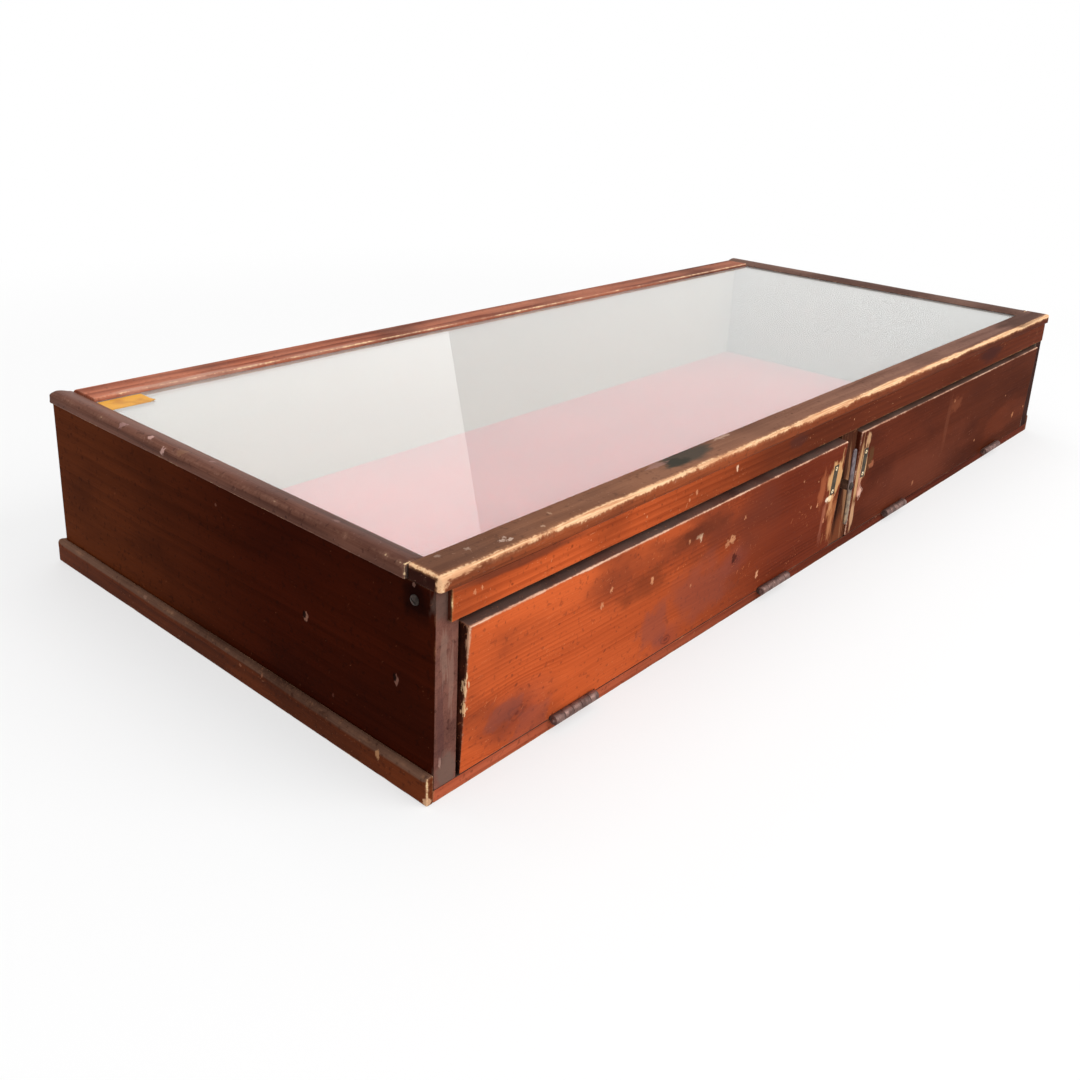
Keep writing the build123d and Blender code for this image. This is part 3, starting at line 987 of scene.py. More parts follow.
def box_points(stops: Sequence[np.ndarray]) -> tuple[np.ndarray, np.ndarray]:
    """Grid over the six faces of a box.

    Args:
        stops: where the grid lines lie on X, Y and Z.

    Returns:
        The points, and the corners of each quad, facing out.
    """
    surface = np.zeros([len(stop) for stop in stops], bool)
    sides = [
        (axis, end, tuple(end if a == axis else slice(None) for a in range(3)))
        for axis in range(3) for end in (0, -1)
    ]
    for _, _, side in sides:
        surface[side] = True
    numbers = np.full(surface.shape, -1)
    numbers[surface] = np.arange(surface.sum())
    points = np.stack([grid[surface] for grid in np.meshgrid(*stops, indexing="ij")], 1)
    quads = []
    for axis, end, side in sides:
        layer = numbers[side]
        corners = [layer[:-1, :-1], layer[1:, :-1], layer[1:, 1:], layer[:-1, 1:]]
        if (end == -1) == (axis == 1):
            corners.reverse()
        quads.append(np.stack([corner.ravel() for corner in corners], 1))
    return points, np.concatenate(quads)


def solid_box(name: str, low: Sequence[float], high: Sequence[float]) -> bpy.types.Object:
    """Plain box, for cutting."""
    points, quads = box_points([np.array(ends) for ends in zip(low, high)])
    return mesh_object(name, points, quads)


def bands(rings: int, turns: int, closed: bool = False) -> Corners:
    """Quads between neighbouring rings of points.

    Args:
        rings: number of rings.
        turns: number of points in each.
        closed: whether the last ring joins the first.

    Returns:
        The corners of each quad.
    """
    faces = []
    for ring in range(rings if closed else rings - 1):
        low, high = ring * turns, (ring + 1) % rings * turns
        for one in range(turns):
            other = (one + 1) % turns
            faces.append((low + one, low + other, high + other, high + one))
    return faces


def lathe(name: str, profile: Profile, turns: int = 32) -> bpy.types.Object:
    """Solid turned about Z.

    Args:
        name: the piece's name.
        profile: radius and height of each corner, as a closed loop, from the axis out and
            counter-clockwise, or open where it starts and ends on the axis.
        turns: number of segments round it.

    Returns:
        The object.
    """
    open_ended = profile[0][0] == 0 and profile[-1][0] == 0
    rings = list(profile[1:-1] if open_ended else profile)
    angles = np.arange(turns) * 2 * math.pi / turns
    points = [(r * math.cos(a), r * math.sin(a), h) for r, h in rings for a in angles]
    faces = bands(len(rings), turns, not open_ended)
    if open_ended:
        last = (len(rings) - 1) * turns
        for (_, height), first, order in ((profile[0], 0, -1), (profile[-1], last, 1)):
            points.append((0.0, 0.0, height))
            for turn in range(turns):
                ends = (first + turn, first + (turn + 1) % turns)[::order]
                faces.append((*ends, len(points) - 1))
    return mesh_object(name, np.array(points), faces)


def spindle(name: str, low: float, high: float, corners: Profile, turns: int) -> bpy.types.Object:
    """Solid turned about Z whose two ends are alike.

    Args:
        name: the piece's name.
        low: the height of its lower end.
        high: the height of its upper end.
        corners: each corner's radius, and how far it is from the end.
        turns: number of segments round it.

    Returns:
        The object.
    """
    ends = [(radius, low + inset) for radius, inset in corners]
    ends += [(radius, high - inset) for radius, inset in reversed(corners)]
    return lathe(name, ends, turns)


def moved(piece: bpy.types.Object, place: Matrix) -> bpy.types.Object:
    """Moves a piece's mesh, so that the piece itself stays at the origin."""
    piece.data.transform(place)
    return piece


def copies(name: str, model: bpy.types.Object, places: Sequence[Matrix]) -> bpy.types.Object:
    """One piece made of copies of a model, which is removed.

    Args:
        name: the new piece's name.
        model: the shape that is copied.
        places: where each copy goes.

    Returns:
        The new piece.
    """
    shape = bmesh.new()
    for place in places:
        copy = model.data.copy()
        copy.transform(place)
        shape.from_mesh(copy)
        bpy.data.meshes.remove(copy)
    mesh = bpy.data.meshes.new(name)
    shape.to_mesh(mesh)
    shape.free()
    piece = placed(name, mesh)
    bpy.data.objects.remove(model)
    return piece


def finished(piece: bpy.types.Object, finish: Finish, body: str, *nodes: str) -> bpy.types.Object:
    """Dresses a piece, puts it on its body and lets it stand for nodes of the frame.

    Args:
        piece: the piece.
        finish: its finish.
        body: the body that it rides on.
        nodes: the nodes that it replaces.

    Returns:
        The piece.
    """
    finish.dress(piece)
    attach(piece, body)
    if nodes:
        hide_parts(*nodes)
    LOG.info("%s rides on %s", piece.name, body)
    return piece


@dataclass(frozen=True)
class Arris:
    """How one edge of a board is rounded, rubbed and chipped, its lengths in mm."""

    radius: float = 0.8
    worn: float = 0.5
    width: float = 2.5
    chips: float = 0.3


EDGE_STOPS = np.array([0.0, 0.3, 0.7, 1.2, 1.9, 2.9, 4.3, 6.2, 9.0, 13.0]) * MM
LEAST_GAP = 0.2 * MM
CHIP_LENGTH = 7 * MM
CHIP_SHARE = 0.7
CHIP_RUB = 0.25
WEAR_LENGTH = 60 * MM
EDGE_REACH = 2 * MM
TINY = 1e-12

# Least value, spread and seed of what changes along an edge: its rounding and its rubbing.
UNEVEN_ROUND = (0.8, 0.4, 50)
UNEVEN_RUB = (0.65, 0.7, 70)


@dataclass
class Board:
    """A board with its own rounding and wear on each of its twelve edges."""

    name: str
    low: Vector
    high: Vector
    arris: Arris = Arris()
    arrises: dict[str, Arris] = field(default_factory=dict)
    step: float = 5 * MM
    seed: int = 1

    @classmethod
    def of(cls, node: str, arris: Arris, **fields: object) -> "Board":
        """A board of the size and place of a node of the frame."""
        return cls(node, *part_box(node), arris, **fields)

    def stops(self, axis: int) -> np.ndarray:
        """Grid lines along one axis, close together near both ends.

        Args:
            axis: 0, 1 or 2.

        Returns:
            Their places.
        """
        low, high = self.low[axis], self.high[axis]
        near = EDGE_STOPS[EDGE_STOPS < (high - low) / 2 - LEAST_GAP]
        inner = high - low - 2 * near[-1]
        middle = np.linspace(low + near[-1], high - near[-1], max(2, round(inner / self.step) + 1))
        return np.concatenate([low + near[:-1], middle, high - near[:-1][::-1]])

    def edges(self) -> Iterator[tuple[Arris, int, dict[int, int]]]:
        """The twelve edges.

        Yields:
            Each edge's arris, the axis that it runs along, and its side on the other two axes.
        """
        signs = {-1: "-", 1: "+"}
        for along in range(3):
            first, second = [axis for axis in range(3) if axis != along]
            for one in signs:
                for other in signs:
                    key = f"{signs[one]}{'xyz'[first]}{signs[other]}{'xyz'[second]}"
                    yield self.arrises.get(key, self.arris), along, {first: one, second: other}

    def rounded(self, points: np.ndarray) -> tuple[np.ndarray, np.ndarray]:
        """Rounds the edges and corners.

        Args:
            points: points on the square box.

        Returns:
            The moved points, and how worn the board is at each.
        """
        low, high = np.array(self.low), np.array(self.high)
        total, radius, worn = np.zeros((3, len(points)))
        for number, (arris, along, sides) in enumerate(self.edges()):
            away = np.hypot(*[
                points[:, axis] - low[axis] if side < 0 else high[axis] - points[:, axis]
                for axis, side in sides.items()
            ])
            travel, seed = points[:, along], self.seed * 100 + number
            uneven, rubbed = (
                least + spread * ripple(travel, WEAR_LENGTH, seed + more)
                for least, spread, more in (UNEVEN_ROUND, UNEVEN_RUB)
            )
            chips = ripple(travel, CHIP_LENGTH, seed) - CHIP_SHARE
            chips = np.clip(chips / (1 - CHIP_SHARE), 0, 1)
            weight = np.exp(-((away / EDGE_REACH) ** 2)) + TINY
            total += weight
            radius += weight * (arris.radius * MM * uneven + arris.chips * MM * chips)
            rub = arris.worn * rubbed + CHIP_RUB * chips * (arris.chips > 0)
            worn = np.maximum(worn, rub * np.clip(1 - away / (arris.width * MM), 0, 1))
        radius = (radius / total)[:, None]
        side = np.where(points < (low + high) / 2, -1.0, 1.0)
        depth = np.minimum(points - low, high - points)
        inward = np.maximum(radius - depth, 0)
        reach = np.linalg.norm(inward, axis=1, keepdims=True)
        scale = np.where(reach > radius, radius / np.maximum(reach, TINY), 1)
        depth = np.where(inward > 0, radius - inward * scale, depth)
        return np.where(side < 0, low, high) - side * depth, worn

    def shaped(self, points: np.ndarray) -> np.ndarray:
        """Hook for boards that aren't plain boxes."""
        return points

    def build(self) -> bpy.types.Object:
        """Makes the board's mesh, with its wear in the attribute named worn.

        Returns:
            The object.
        """
        square, quads = box_points([self.stops(axis) for axis in range(3)])
        points, worn = self.rounded(square)
        piece = mesh_object(self.name + "_dressed", self.shaped(points), quads)
        wear = piece.data.attributes.new("worn", "FLOAT", "POINT")
        wear.data.foreach_set("value", worn.astype(np.float32))
        return smooth(piece)

    def dress(
        self, finish: Finish, cuts: Sequence[bpy.types.Object] = (), body: str = "case",
        turn: Matrix = Matrix.Identity(4)
    ) -> bpy.types.Object:
        """Makes the board as a piece that replaces the node of its name.

        Args:
            finish: its finish.
            cuts: shapes that are cut out of it.
            body: the body that it rides on.
            turn: the turn that takes it to rest.

        Returns:
            The piece.
        """
        piece = combine(self.build(), cuts) if cuts else self.build()
        return finished(moved(piece, turn), finish, body, self.name)


@dataclass
class MitredBoard(Board):
    """A board whose outer face is longer than its inner one, for a mitred corner."""

    out_axis: int = Y
    out_side: int = 1
    mitres: tuple[int, ...] = (-1, 1)

    def shaped(self, points: np.ndarray) -> np.ndarray:
        """Slopes the mitred ends at 45 degrees.

        Args:
            points: the rounded points of the square-ended board.

        Returns:
            The points with their ends sloped.
        """
        along = Y if self.out_axis == X else X
        inner = (self.low if self.out_side > 0 else self.high)[self.out_axis]
        width = self.high[self.out_axis] - self.low[self.out_axis]
        out = np.abs(points[:, self.out_axis] - inner)
        middle = (self.low[along] + self.high[along]) / 2
        half = (self.high[along] - self.low[along]) / 2
        sloped = points.copy()
        for side in self.mitres:
            share = np.clip((points[:, along] - middle) * side / half, 0, 1)
            sloped[:, along] -= side * (width - out) * share
        return sloped


@dataclass
class NosedRail(Board):
    """A rail with a full round along the upper edge of its far side."""

    nose: float = 8.5 * MM

    def shaped(self, points: np.ndarray) -> np.ndarray:
        """Lowers the top along a quarter of a circle towards the far side.

        Args:
            points: the rounded points of the plain rail.

        Returns:
            The points with the nose's profile.
        """
        short = np.clip(self.nose - (self.high.y - points[:, Y]), 0, self.nose)
        drop = self.nose - np.sqrt(self.nose**2 - short**2)
        height = self.high.z - self.low.z
        lowered = points.copy()
        lowered[:, Z] = self.low.z + (points[:, Z] - self.low.z) * (1 - drop / height)
        return lowered


@dataclass
class DomedMoulding(Board):
    """A moulding whose top curves down to the glass."""

    inner_side: int = 1
    dome_width: float = 16 * MM
    dome_drop: float = 5.0 * MM

    def shaped(self, points: np.ndarray) -> np.ndarray:
        """Lowers the top towards the inner side.

        Args:
            points: the rounded points of the plain moulding.

        Returns:
            The points with the domed profile.
        """
        inner = self.high.x if self.inner_side > 0 else self.low.x
        share = np.clip(1 - np.abs(points[:, X] - inner) / self.dome_width, 0, 1)
        level = (points[:, Z] - self.low.z) / (self.high.z - self.low.z)
        lowered = points.copy()
        lowered[:, Z] -= self.dome_drop * share**1.5 * level
        return lowered


# ---- The object's finishes -------------------------------------------------------------------

# The places and half sizes in patches and marks are in mm.
DUSTY_STRIP = Facing(TO_DOORS, (130, 86, 74), (78, 50, 47))
CREAM_PAINT = (184, 170, 152), (172, 158, 141)
BRUISE = (128, 72, 62)
SCRAPE = (206, 156, 106)
PALE_CHIP = (214, 148, 106)
MARK_SHARE, MARK_RAGGED = 0.6, 0.75
MARK_WIDTH, MARK_DEPTH, MARK_HEIGHT = 0.46, 9.0, 0.6


def inner_paint(direction: Triple, tone: float = 1.0) -> Facing:
    """Old cream paint on the faces that look into the case.

    Args:
        direction: the way that the painted faces look.
        tone: how light the paint is kept, 1 for the palest; less is painted shade.

    Returns:
        The facing.
    """
    light, dark = (tuple(tone * value for value in paint) for paint in CREAM_PAINT)
    return Facing(direction, light, dark, painted=True)


def patches(axis: int, at: float, depth: float, *rows: tuple) -> Iterator[Spot]:
    """Spots that have their place and reach along one axis in common.

    Args:
        axis: that axis.
        at: where they are on it.
        depth: how far they reach along it.
        rows: each spot's place on the other two axes, its reach along them, and its further fields.

    Yields:
        The spots.
    """
    for one, other, wide, high, *look in rows:
        centre, reach = [one, other], [wide, high]
        centre.insert(axis, at)
        reach.insert(axis, depth)
        yield Spot(in_metres(centre), in_metres(reach), *look)


def marks(y: float, *rows: tuple) -> Iterator[Spot]:
    """Small marks on the side of the doors.

    Args:
        y: their place across the case.
        rows: each mark's place along the case, its height and its size, and its share and colour
            where they differ from the usual ones.

    Yields:
        The spots.
    """
    for x, z, size, *look in rows:
        share, colour = look + [MARK_SHARE, PALE_CHIP][len(look):]
        reach = (MARK_WIDTH * size, MARK_DEPTH, MARK_HEIGHT * size)
        yield Spot(in_metres((x, y, z)), in_metres(reach), colour, share, MARK_RAGGED)


# Left end board: dark stain, darkened further as painted shade on its outer face; the lighter far
# end is a painted sheen.
END_STAIN_AND_SHADE = Wood(
    "Stained end board", "stained_board", (60, 18, 6), (38, 8, 2), far_light=(94, 44, 20),
    far_dark=(66, 28, 11), fade=(-0.1, 0.26), gradient_axis=Y, grain=Grain.ALONG_Y, pitch=90.0,
    ring_share=0.3, roughness=0.3, gloss=0.002, bare=(170, 112, 80), scratches=0.05,
    scratch=(140, 84, 58), dust_and_sheen_share=0.2, grime=(26, 8, 5),
    facings=(DUSTY_STRIP, inner_paint(TO_RIGHT)),
    spots=(
        *patches(
            X, -580, 6,
            (-119.5, 88.5, 2.6, 4.2, (132, 92, 76), 0.85, 0.35),
            (-117.8, 89.6, 1.9, 3, (22, 7, 5), 0.95, 0.25),
            (-219, 79.9, 2.2, 4, (120, 82, 70), 0.85, 0.35),
            (-217.5, 81.2, 1.7, 3, (20, 6, 4), 0.95, 0.25),
            (-150, 36, 1.2, 1.6, (86, 48, 38), 0.7, 0.4),
            # Dark round patch about the stop screw: painted shade of its recess.
            (-239.2, 147.5, 13, 13, (12, 4, 3), 0.75, 0.3, 0.5),
            (-7.3, 141.6, 1.4, 1.4, (104, 66, 52), 0.7, 0.3),
            (-236, 158, 1.6, 1.6, (104, 74, 64), 0.8, 0.3),
        ),
        *patches(Y, -257, 6, (-567.5, 20, 10, 14, (112, 90, 80), 0.75, 0.4, 0.3)),
        *patches(Y, -257, 4, (-574.5, 30, 1.2, 4, (180, 144, 130), 0.6, 0.9)),
        *patches(
            Y, -257, 6,
            (-574.5, 60, 3, 30, (86, 56, 54), 0.5, 0.8, 0.4),
            (-565.5, 90, 3, 24, (150, 116, 102), 0.4, 0.9, 0.4),
            (-572, 112, 3, 20, (146, 118, 104), 0.4, 0.9, 0.4),
            (-569.5, 150, 14, 10, (96, 78, 70), 0.6, 0.5, 0.5),
        ),
    ),
)
RIGHT_END_STAIN = replace(
    END_STAIN_AND_SHADE,
    name="Stained right end board", dust_and_sheen_share=0.05, grime=(28, 9, 6), light=(74, 30, 14),
    dark=(44, 12, 6), far_light=None, far_dark=None, fade=(-0.58, 0.58), gradient_axis=X,
    # The dark front edge is painted shade, and the inner cream paint is darkened as painted shade.
    facings=(Facing(TO_DOORS, (58, 30, 23), (38, 18, 14)), inner_paint(TO_LEFT, 0.78)),
    spots=(),
)
FRONT_STAIN = Wood(
    "Stained front board", "stained_board", (84, 34, 17), (50, 15, 7), pitch=90.0, ring_share=0.35,
    roughness=0.3, gloss=0.002, bare=(170, 112, 80), scratches=0.07, scratch=(150, 92, 62),
    # Inner paint darkened a little as painted shade.
    facings=(inner_paint(TO_DOORS, 0.9),),
)
# Darkens from the left end to the middle: painted light and shade, lit at the left end and shaded
# beyond.
BASE_WOOD = Wood(
    "Base board", "base_wood", (186, 96, 66), (134, 60, 40), far_light=(104, 46, 30),
    far_dark=(70, 29, 20), fade=(-0.5, 0.0), scratches=0.15,
    facings=(Facing(DOWN, (196, 150, 100), (160, 112, 70)), Facing(UP, (58, 26, 18), (40, 16, 11))),
)
# Darkens from the left end towards the middle: painted light and shade, lit at the left and shaded
# beyond.
RAIL_WOOD = Wood(
    "Door rail", "rail_wood", (204, 94, 48), (158, 66, 32), far_light=(100, 46, 27),
    far_dark=(68, 29, 18), fade=(-0.46, -0.08), scratches=0.22, scratch_share=0.8,
    grime=(92, 42, 26), grime_share=0.5,
    # The dark underside and dark left end are painted shade.
    facings=(Facing(DOWN, (70, 52, 46), (50, 36, 32)), Facing(TO_LEFT, (52, 28, 22), (34, 17, 13))),
    spots=(
        *marks(
            -261,
            (-228, 154, 4.2, 0.85, (232, 190, 156)), (-300, 144.5, 2.4), (-290, 148.5, 3.2),
            (-359, 147.5, 1.6), (-542, 152, 2.4, 0.6), (-549, 151, 3.0, 0.5), (-6, 149, 1.5, 0.7),
        ),
        *patches(
            Y, -261, 6,
            (-500, 158.5, 60, 3.5, (96, 50, 36), 0.8, 0.3, 0.5),
            (-119, 153, 16, 6, (74, 42, 36), 0.6, 0.4, 0.5),
            (369, 153, 30, 9, (58, 32, 30), 0.7, 0.4, 0.5),
        ),
    ),
)
STOP_WOOD = Wood("Stop strip", "inner_wood", (150, 128, 104), (116, 94, 74))
STILE_WOOD = Wood(
    "Stile", "stile_wood", (92, 52, 35), (54, 30, 21), grain=Grain.ALONG_Z, bare=(196, 150, 110),
    scratches=0.35, scratch_share=0.7,
    spots=(
        *patches(
            Y, -256, 6,
            (-4, 20, 16, 22, (118, 64, 40), 0.8, 0.4, 0.4),
            (8, 60, 4, 40, (184, 134, 96), 0.45, 0.8, 0.3),
            # Dark patch at the left beside the turn button: a painted shadow.
            (-12, 75, 8, 50, (44, 20, 15), 0.85, 0.4, 0.3),
        ),
    ),
)
NEAR_TOP_WOOD = Wood(
    "Top rail", "top_wood", (132, 88, 64), (88, 55, 41), far_light=(130, 96, 84),
    far_dark=(88, 58, 49), roughness=0.5, gloss=0.008, bare=(204, 144, 104), pale=(240, 198, 154),
    soft=0.16, scratches=0.3, scratch_share=0.6, scratch=(182, 144, 120), dust=(132, 102, 88),
    dust_and_sheen_share=0.15, grime=(66, 42, 33), grime_share=0.4,
    # The dark left end is painted shade, and the door-side face darkening towards the right end is
    # painted shade.
    facings=(
        Facing(TO_LEFT, (44, 12, 8), (30, 7, 5)),
        Facing(TO_DOORS, (158, 80, 46), (108, 52, 31), far=((88, 40, 25), (60, 26, 16))),
    ),
    spots=(
        *patches(
            Z, 172, 6,
            (-280, -238.5, 36, 12.5, (66, 62, 55), 0.9, 0.25, 0.25),
            (-296, -242.5, 14, 8, (52, 50, 43), 0.8, 0.4, 0.4),
            (-315, -236, 12, 3, (154, 116, 106), 0.6, 0.6, 0.4),
            (520, -243, 85, 18, (66, 44, 37), 0.75, 0.5, 0.5),
        ),
        *patches(Y, -260, 3, (-578, 168, 5.5, 5, (232, 184, 142), 0.8, 0.9, 0.4)),
        *patches(Y, -260.5, 2, (-561, 169.5, 12, 2.2, (220, 164, 122), 0.7, 0.9, 0.4)),
        *patches(
            Z, 172, 10,
            (-560, -236.5, 2.4, 1.8, (160, 136, 120), 0.5, 0.8),
            (-538, -242, 2.6, 1.8, (166, 140, 122), 0.55, 0.8),
            (-512, -248.8, 2.6, 1.8, (190, 162, 144), 0.7, 0.9),
            (-506.5, -251.5, 3.6, 1.6, (196, 168, 150), 0.75, 0.9),
            (-507, -246.5, 1.6, 1.6, (186, 158, 140), 0.6, 0.8),
            (-473.5, -252.3, 2, 1.5, (180, 146, 120), 0.6, 0.6),
            (-453, -240.5, 1.2, 2.4, (176, 142, 116), 0.5, 0.6),
        ),
        *patches(Y, -233.5, 2.2, (-214, 172, 12, 6, (196, 166, 146), 0.5, 0.8, 0.4)),
    ),
)
FAR_TOP_WOOD = Wood(
    "Far top rail", "red_wood", (192, 114, 86), (120, 58, 42), fade=(-0.5, 0.3),
    far_light=(170, 104, 80), far_dark=(104, 52, 41), bare=(220, 176, 150), ring_share=0.8,
    scratches=0.4, scratch_share=0.7, scratch=(216, 164, 140), dust=(176, 136, 118), dust_and_sheen_share=0.2,
    grime=(64, 30, 26), grime_share=0.6,
    spots=(
        *patches(Y, 219, 4, (-470, 169, 70, 6, (196, 158, 140), 0.55, 0.7, 0.5)),
        *patches(Y, 220, 3, (-300, 169, 50, 5, (190, 150, 132), 0.45, 0.7, 0.5)),
    ),
)
SIDE_MOULDING_WOOD = Wood(
    "Side moulding", "moulding_wood", (116, 76, 62), (62, 34, 26), grain=Grain.ALONG_Y,
    far_light=(124, 95, 83), far_dark=(82, 58, 50), fade=(-0.5, 0.5), pitch=110.0,
    bare=(168, 126, 106), scratches=0.3, scratch=(160, 122, 110), dust=(128, 96, 88),
    dust_and_sheen_share=0.12, roughness=0.36, gloss=0.02, grime=(44, 22, 19), grime_share=0.5,
    facings=(
        # The darker downward faces are painted shade.
        Facing(DOWN, (40, 28, 26), (26, 18, 16)), Facing(TO_DOORS, (72, 62, 58), (46, 39, 36)),
    ),
    spots=(
        *patches(
            Z, 171, 5,
            (-579, 130, 2.8, 4, (160, 124, 118), 0.6, 0.8),
            (-578, 87, 2.4, 3, (198, 158, 148), 0.75, 0.7),
        ),
        *patches(Y, 62.5, 3, (-583.5, 169, 2.6, 4, (196, 156, 146), 0.75, 0.7)),
        *patches(Y, 40, 5, (-578, 171, 4, 6, (130, 92, 70), 0.6, 0.8)),
        *patches(
            Z, 172, 6,
            (-571, 8, 2.4, 2.4, (150, 114, 106), 0.6, 0.7),
            (-572, -147, 2.4, 3, (140, 106, 98), 0.5, 0.7),
        ),
    ),
)
BASE_MOULDING_WOOD = Wood(
    "Base moulding", "moulding_wood", (104, 48, 22), (60, 24, 9), grain=Grain.ALONG_Y, pitch=110.0,
    bare=(196, 142, 106), scratches=0.3, scratch_share=0.6, scratch=(170, 112, 80),
    dust=(120, 92, 76), dust_and_sheen_share=0.08, roughness=0.34, gloss=0.01, grime=(44, 18, 10),
    grime_share=0.5,
    # The grey-brown faces that look up are a painted highlight, and the dark underside is painted
    # shade.
    facings=(
        Facing((-0.55, 0.0, 1.0), (116, 84, 68), (76, 50, 39)),
        Facing((0.55, 0.0, 1.0), (116, 84, 68), (76, 50, 39)),
        Facing((0.0, 0.0, -1.1), (40, 16, 8), (26, 10, 5)),
    ),
    spots=(
        *patches(
            X, -586, 6,
            (-206.2, 16.5, 2.2, 3.4, (178, 130, 92), 0.75, 0.5),
            (-69, 19, 1.2, 1.6, (160, 108, 82), 0.5, 0.5),
            (-40, 16, 1.6, 1.4, (150, 100, 76), 0.5, 0.6),
            (105, 20, 2.6, 1.4, (150, 112, 94), 0.5, 0.5),
        ),
        *patches(Y, -257, 4, (-586, 3, 4, 4, (214, 168, 130), 0.8, 0.7)),
    ),
)
FRONT_BASE_MOULDING_WOOD = replace(
    BASE_MOULDING_WOOD,
    name="Front base moulding", bare=(190, 138, 106), dust_and_sheen_share=0.2, gloss=0.02,
    grain=Grain.ALONG_X, grime=(60, 30, 22), grime_share=0.35,
    # The grey-brown faces that look up are a painted highlight.
    facings=(Facing((0.0, 0.55, 1.0), (116, 84, 68), (76, 50, 39)),),
    spots=(),
)
# Darkens from the left end towards the middle: painted light and shade, lit at the left and shaded
# beyond.
LEFT_DOOR_WOOD = Wood(
    "Left door", "door_wood", (206, 96, 50), (162, 68, 34), far_light=(118, 50, 30),
    far_dark=(82, 33, 20), fade=(-0.48, -0.1), pitch=240.0, ring_share=0.36, scratch=(214, 130, 84),
    scratches=0.46, scratch_share=0.75, grime=(104, 50, 36), grime_share=0.72, bare=(196, 134, 104),
    pale=(228, 186, 158), soft=0.2,
    knots=(Knot(-0.5, 0.0363, 0.009), Knot(-0.3135, 0.0189, 0.006), Knot(-0.2138, 0.0611, 0.0062)),
    # The grey-brown top is a painted sheen; the dark left edge and underside are painted shade.
    facings=(
        Facing(UP, (84, 56, 50), (58, 37, 33)), Facing(TO_LEFT, (42, 21, 16), (25, 11, 9)),
        Facing(DOWN, (52, 22, 15), (36, 14, 10)),
    ),
    spots=(
        *patches(Y, -262, 3, (-556, 82, 2.4, 7, (232, 192, 150), 0.85, 0.9)),
        *patches(Y, -261, 3, (-556, 64, 2.2, 5.5, (232, 188, 142), 0.85, 0.9)),
        *patches(Y, -263.5, 2.5, (-556, 118, 1.2, 12, (214, 164, 132), 0.6, 0.7)),
        *patches(
            Y, -258, 20,
            (-282, 107, 4.2, 2.2, (222, 186, 152), 0.75, 0.9),
            (-279, 105, 1.4, 4.2, (222, 186, 152), 0.7, 0.9),
            (-290, 113, 12, 6, (92, 44, 30), 0.6, 0.7, 0.4),
            (-226.5, 85.5, 5.5, 3.6, (210, 148, 106), 0.7, 0.8, 0.3),
            (-232.5, 82.5, 3.5, 2.2, (200, 136, 96), 0.6, 0.8, 0.3),
        ),
        *marks(-258, (-168, 30, 5.0, 0.8, (216, 156, 118))),
        *patches(
            Y, -258, 20,
            (-517, 42, 17, 10, BRUISE, 0.5, 0.6, 0.3), (-484, 20, 20, 14, BRUISE, 0.4, 0.6, 0.3),
            (-331, 40, 20, 18, BRUISE, 0.5, 0.6, 0.4), (-265, 52, 45, 25, BRUISE, 0.4, 0.6, 0.5),
            (-356, 86, 30, 12, (116, 54, 32), 0.6, 0.6, 0.5),
            (-285, 112, 35, 10, (96, 46, 30), 0.6, 0.6, 0.5),
        ),
        *marks(
            -258,
            (-411, 89.5, 5.0), (-401, 99.5, 4.0, 0.7), (-346, 88, 5.4, 0.7), (-285, 61, 2.6, 0.4),
            (-208, 102, 3.6), (-297, 106.7, 3.6), (-103, 108, 2.4, 0.7), (-78, 73, 2.6, 0.7),
            (-64, 71, 3.4, 0.7), (-43, 48, 4.2, 0.8), (-71, 99, 1.8, 0.7),
        ),
        *patches(
            Y, -262, 20,
            (-29, 52, 11, 22, (186, 122, 78), 0.5, 0.9, 0.5),
            (-33.5, 91.2, 13.5, 21, SCRAPE, 0.9, 0.7, 0.25),
            (-37.5, 71.5, 7.5, 3.5, (240, 210, 166), 0.9, 0.6, 0.3),
            (-44.5, 71.5, 2.8, 2.4, (252, 238, 214), 0.95, 0.2, 0.4),
            (-58, 87, 6.5, 18, (182, 104, 68), 0.5, 0.8, 0.5),
        ),
        *patches(Y, -258, 20, (-217.5, 64, 4.2, 5, (62, 27, 22), 0.8, 0.6, 0.4)),
        *patches(
            Y, -262, 20,
            (-45.5, 50, 4, 22, (166, 100, 78), 0.5, 0.7, 0.4),
            (-32.5, 62, 4.5, 12, (202, 142, 98), 0.75, 0.7, 0.3),
            (-26.5, 34, 3.5, 16, (188, 124, 84), 0.65, 0.7, 0.35),
        ),
    ),
)
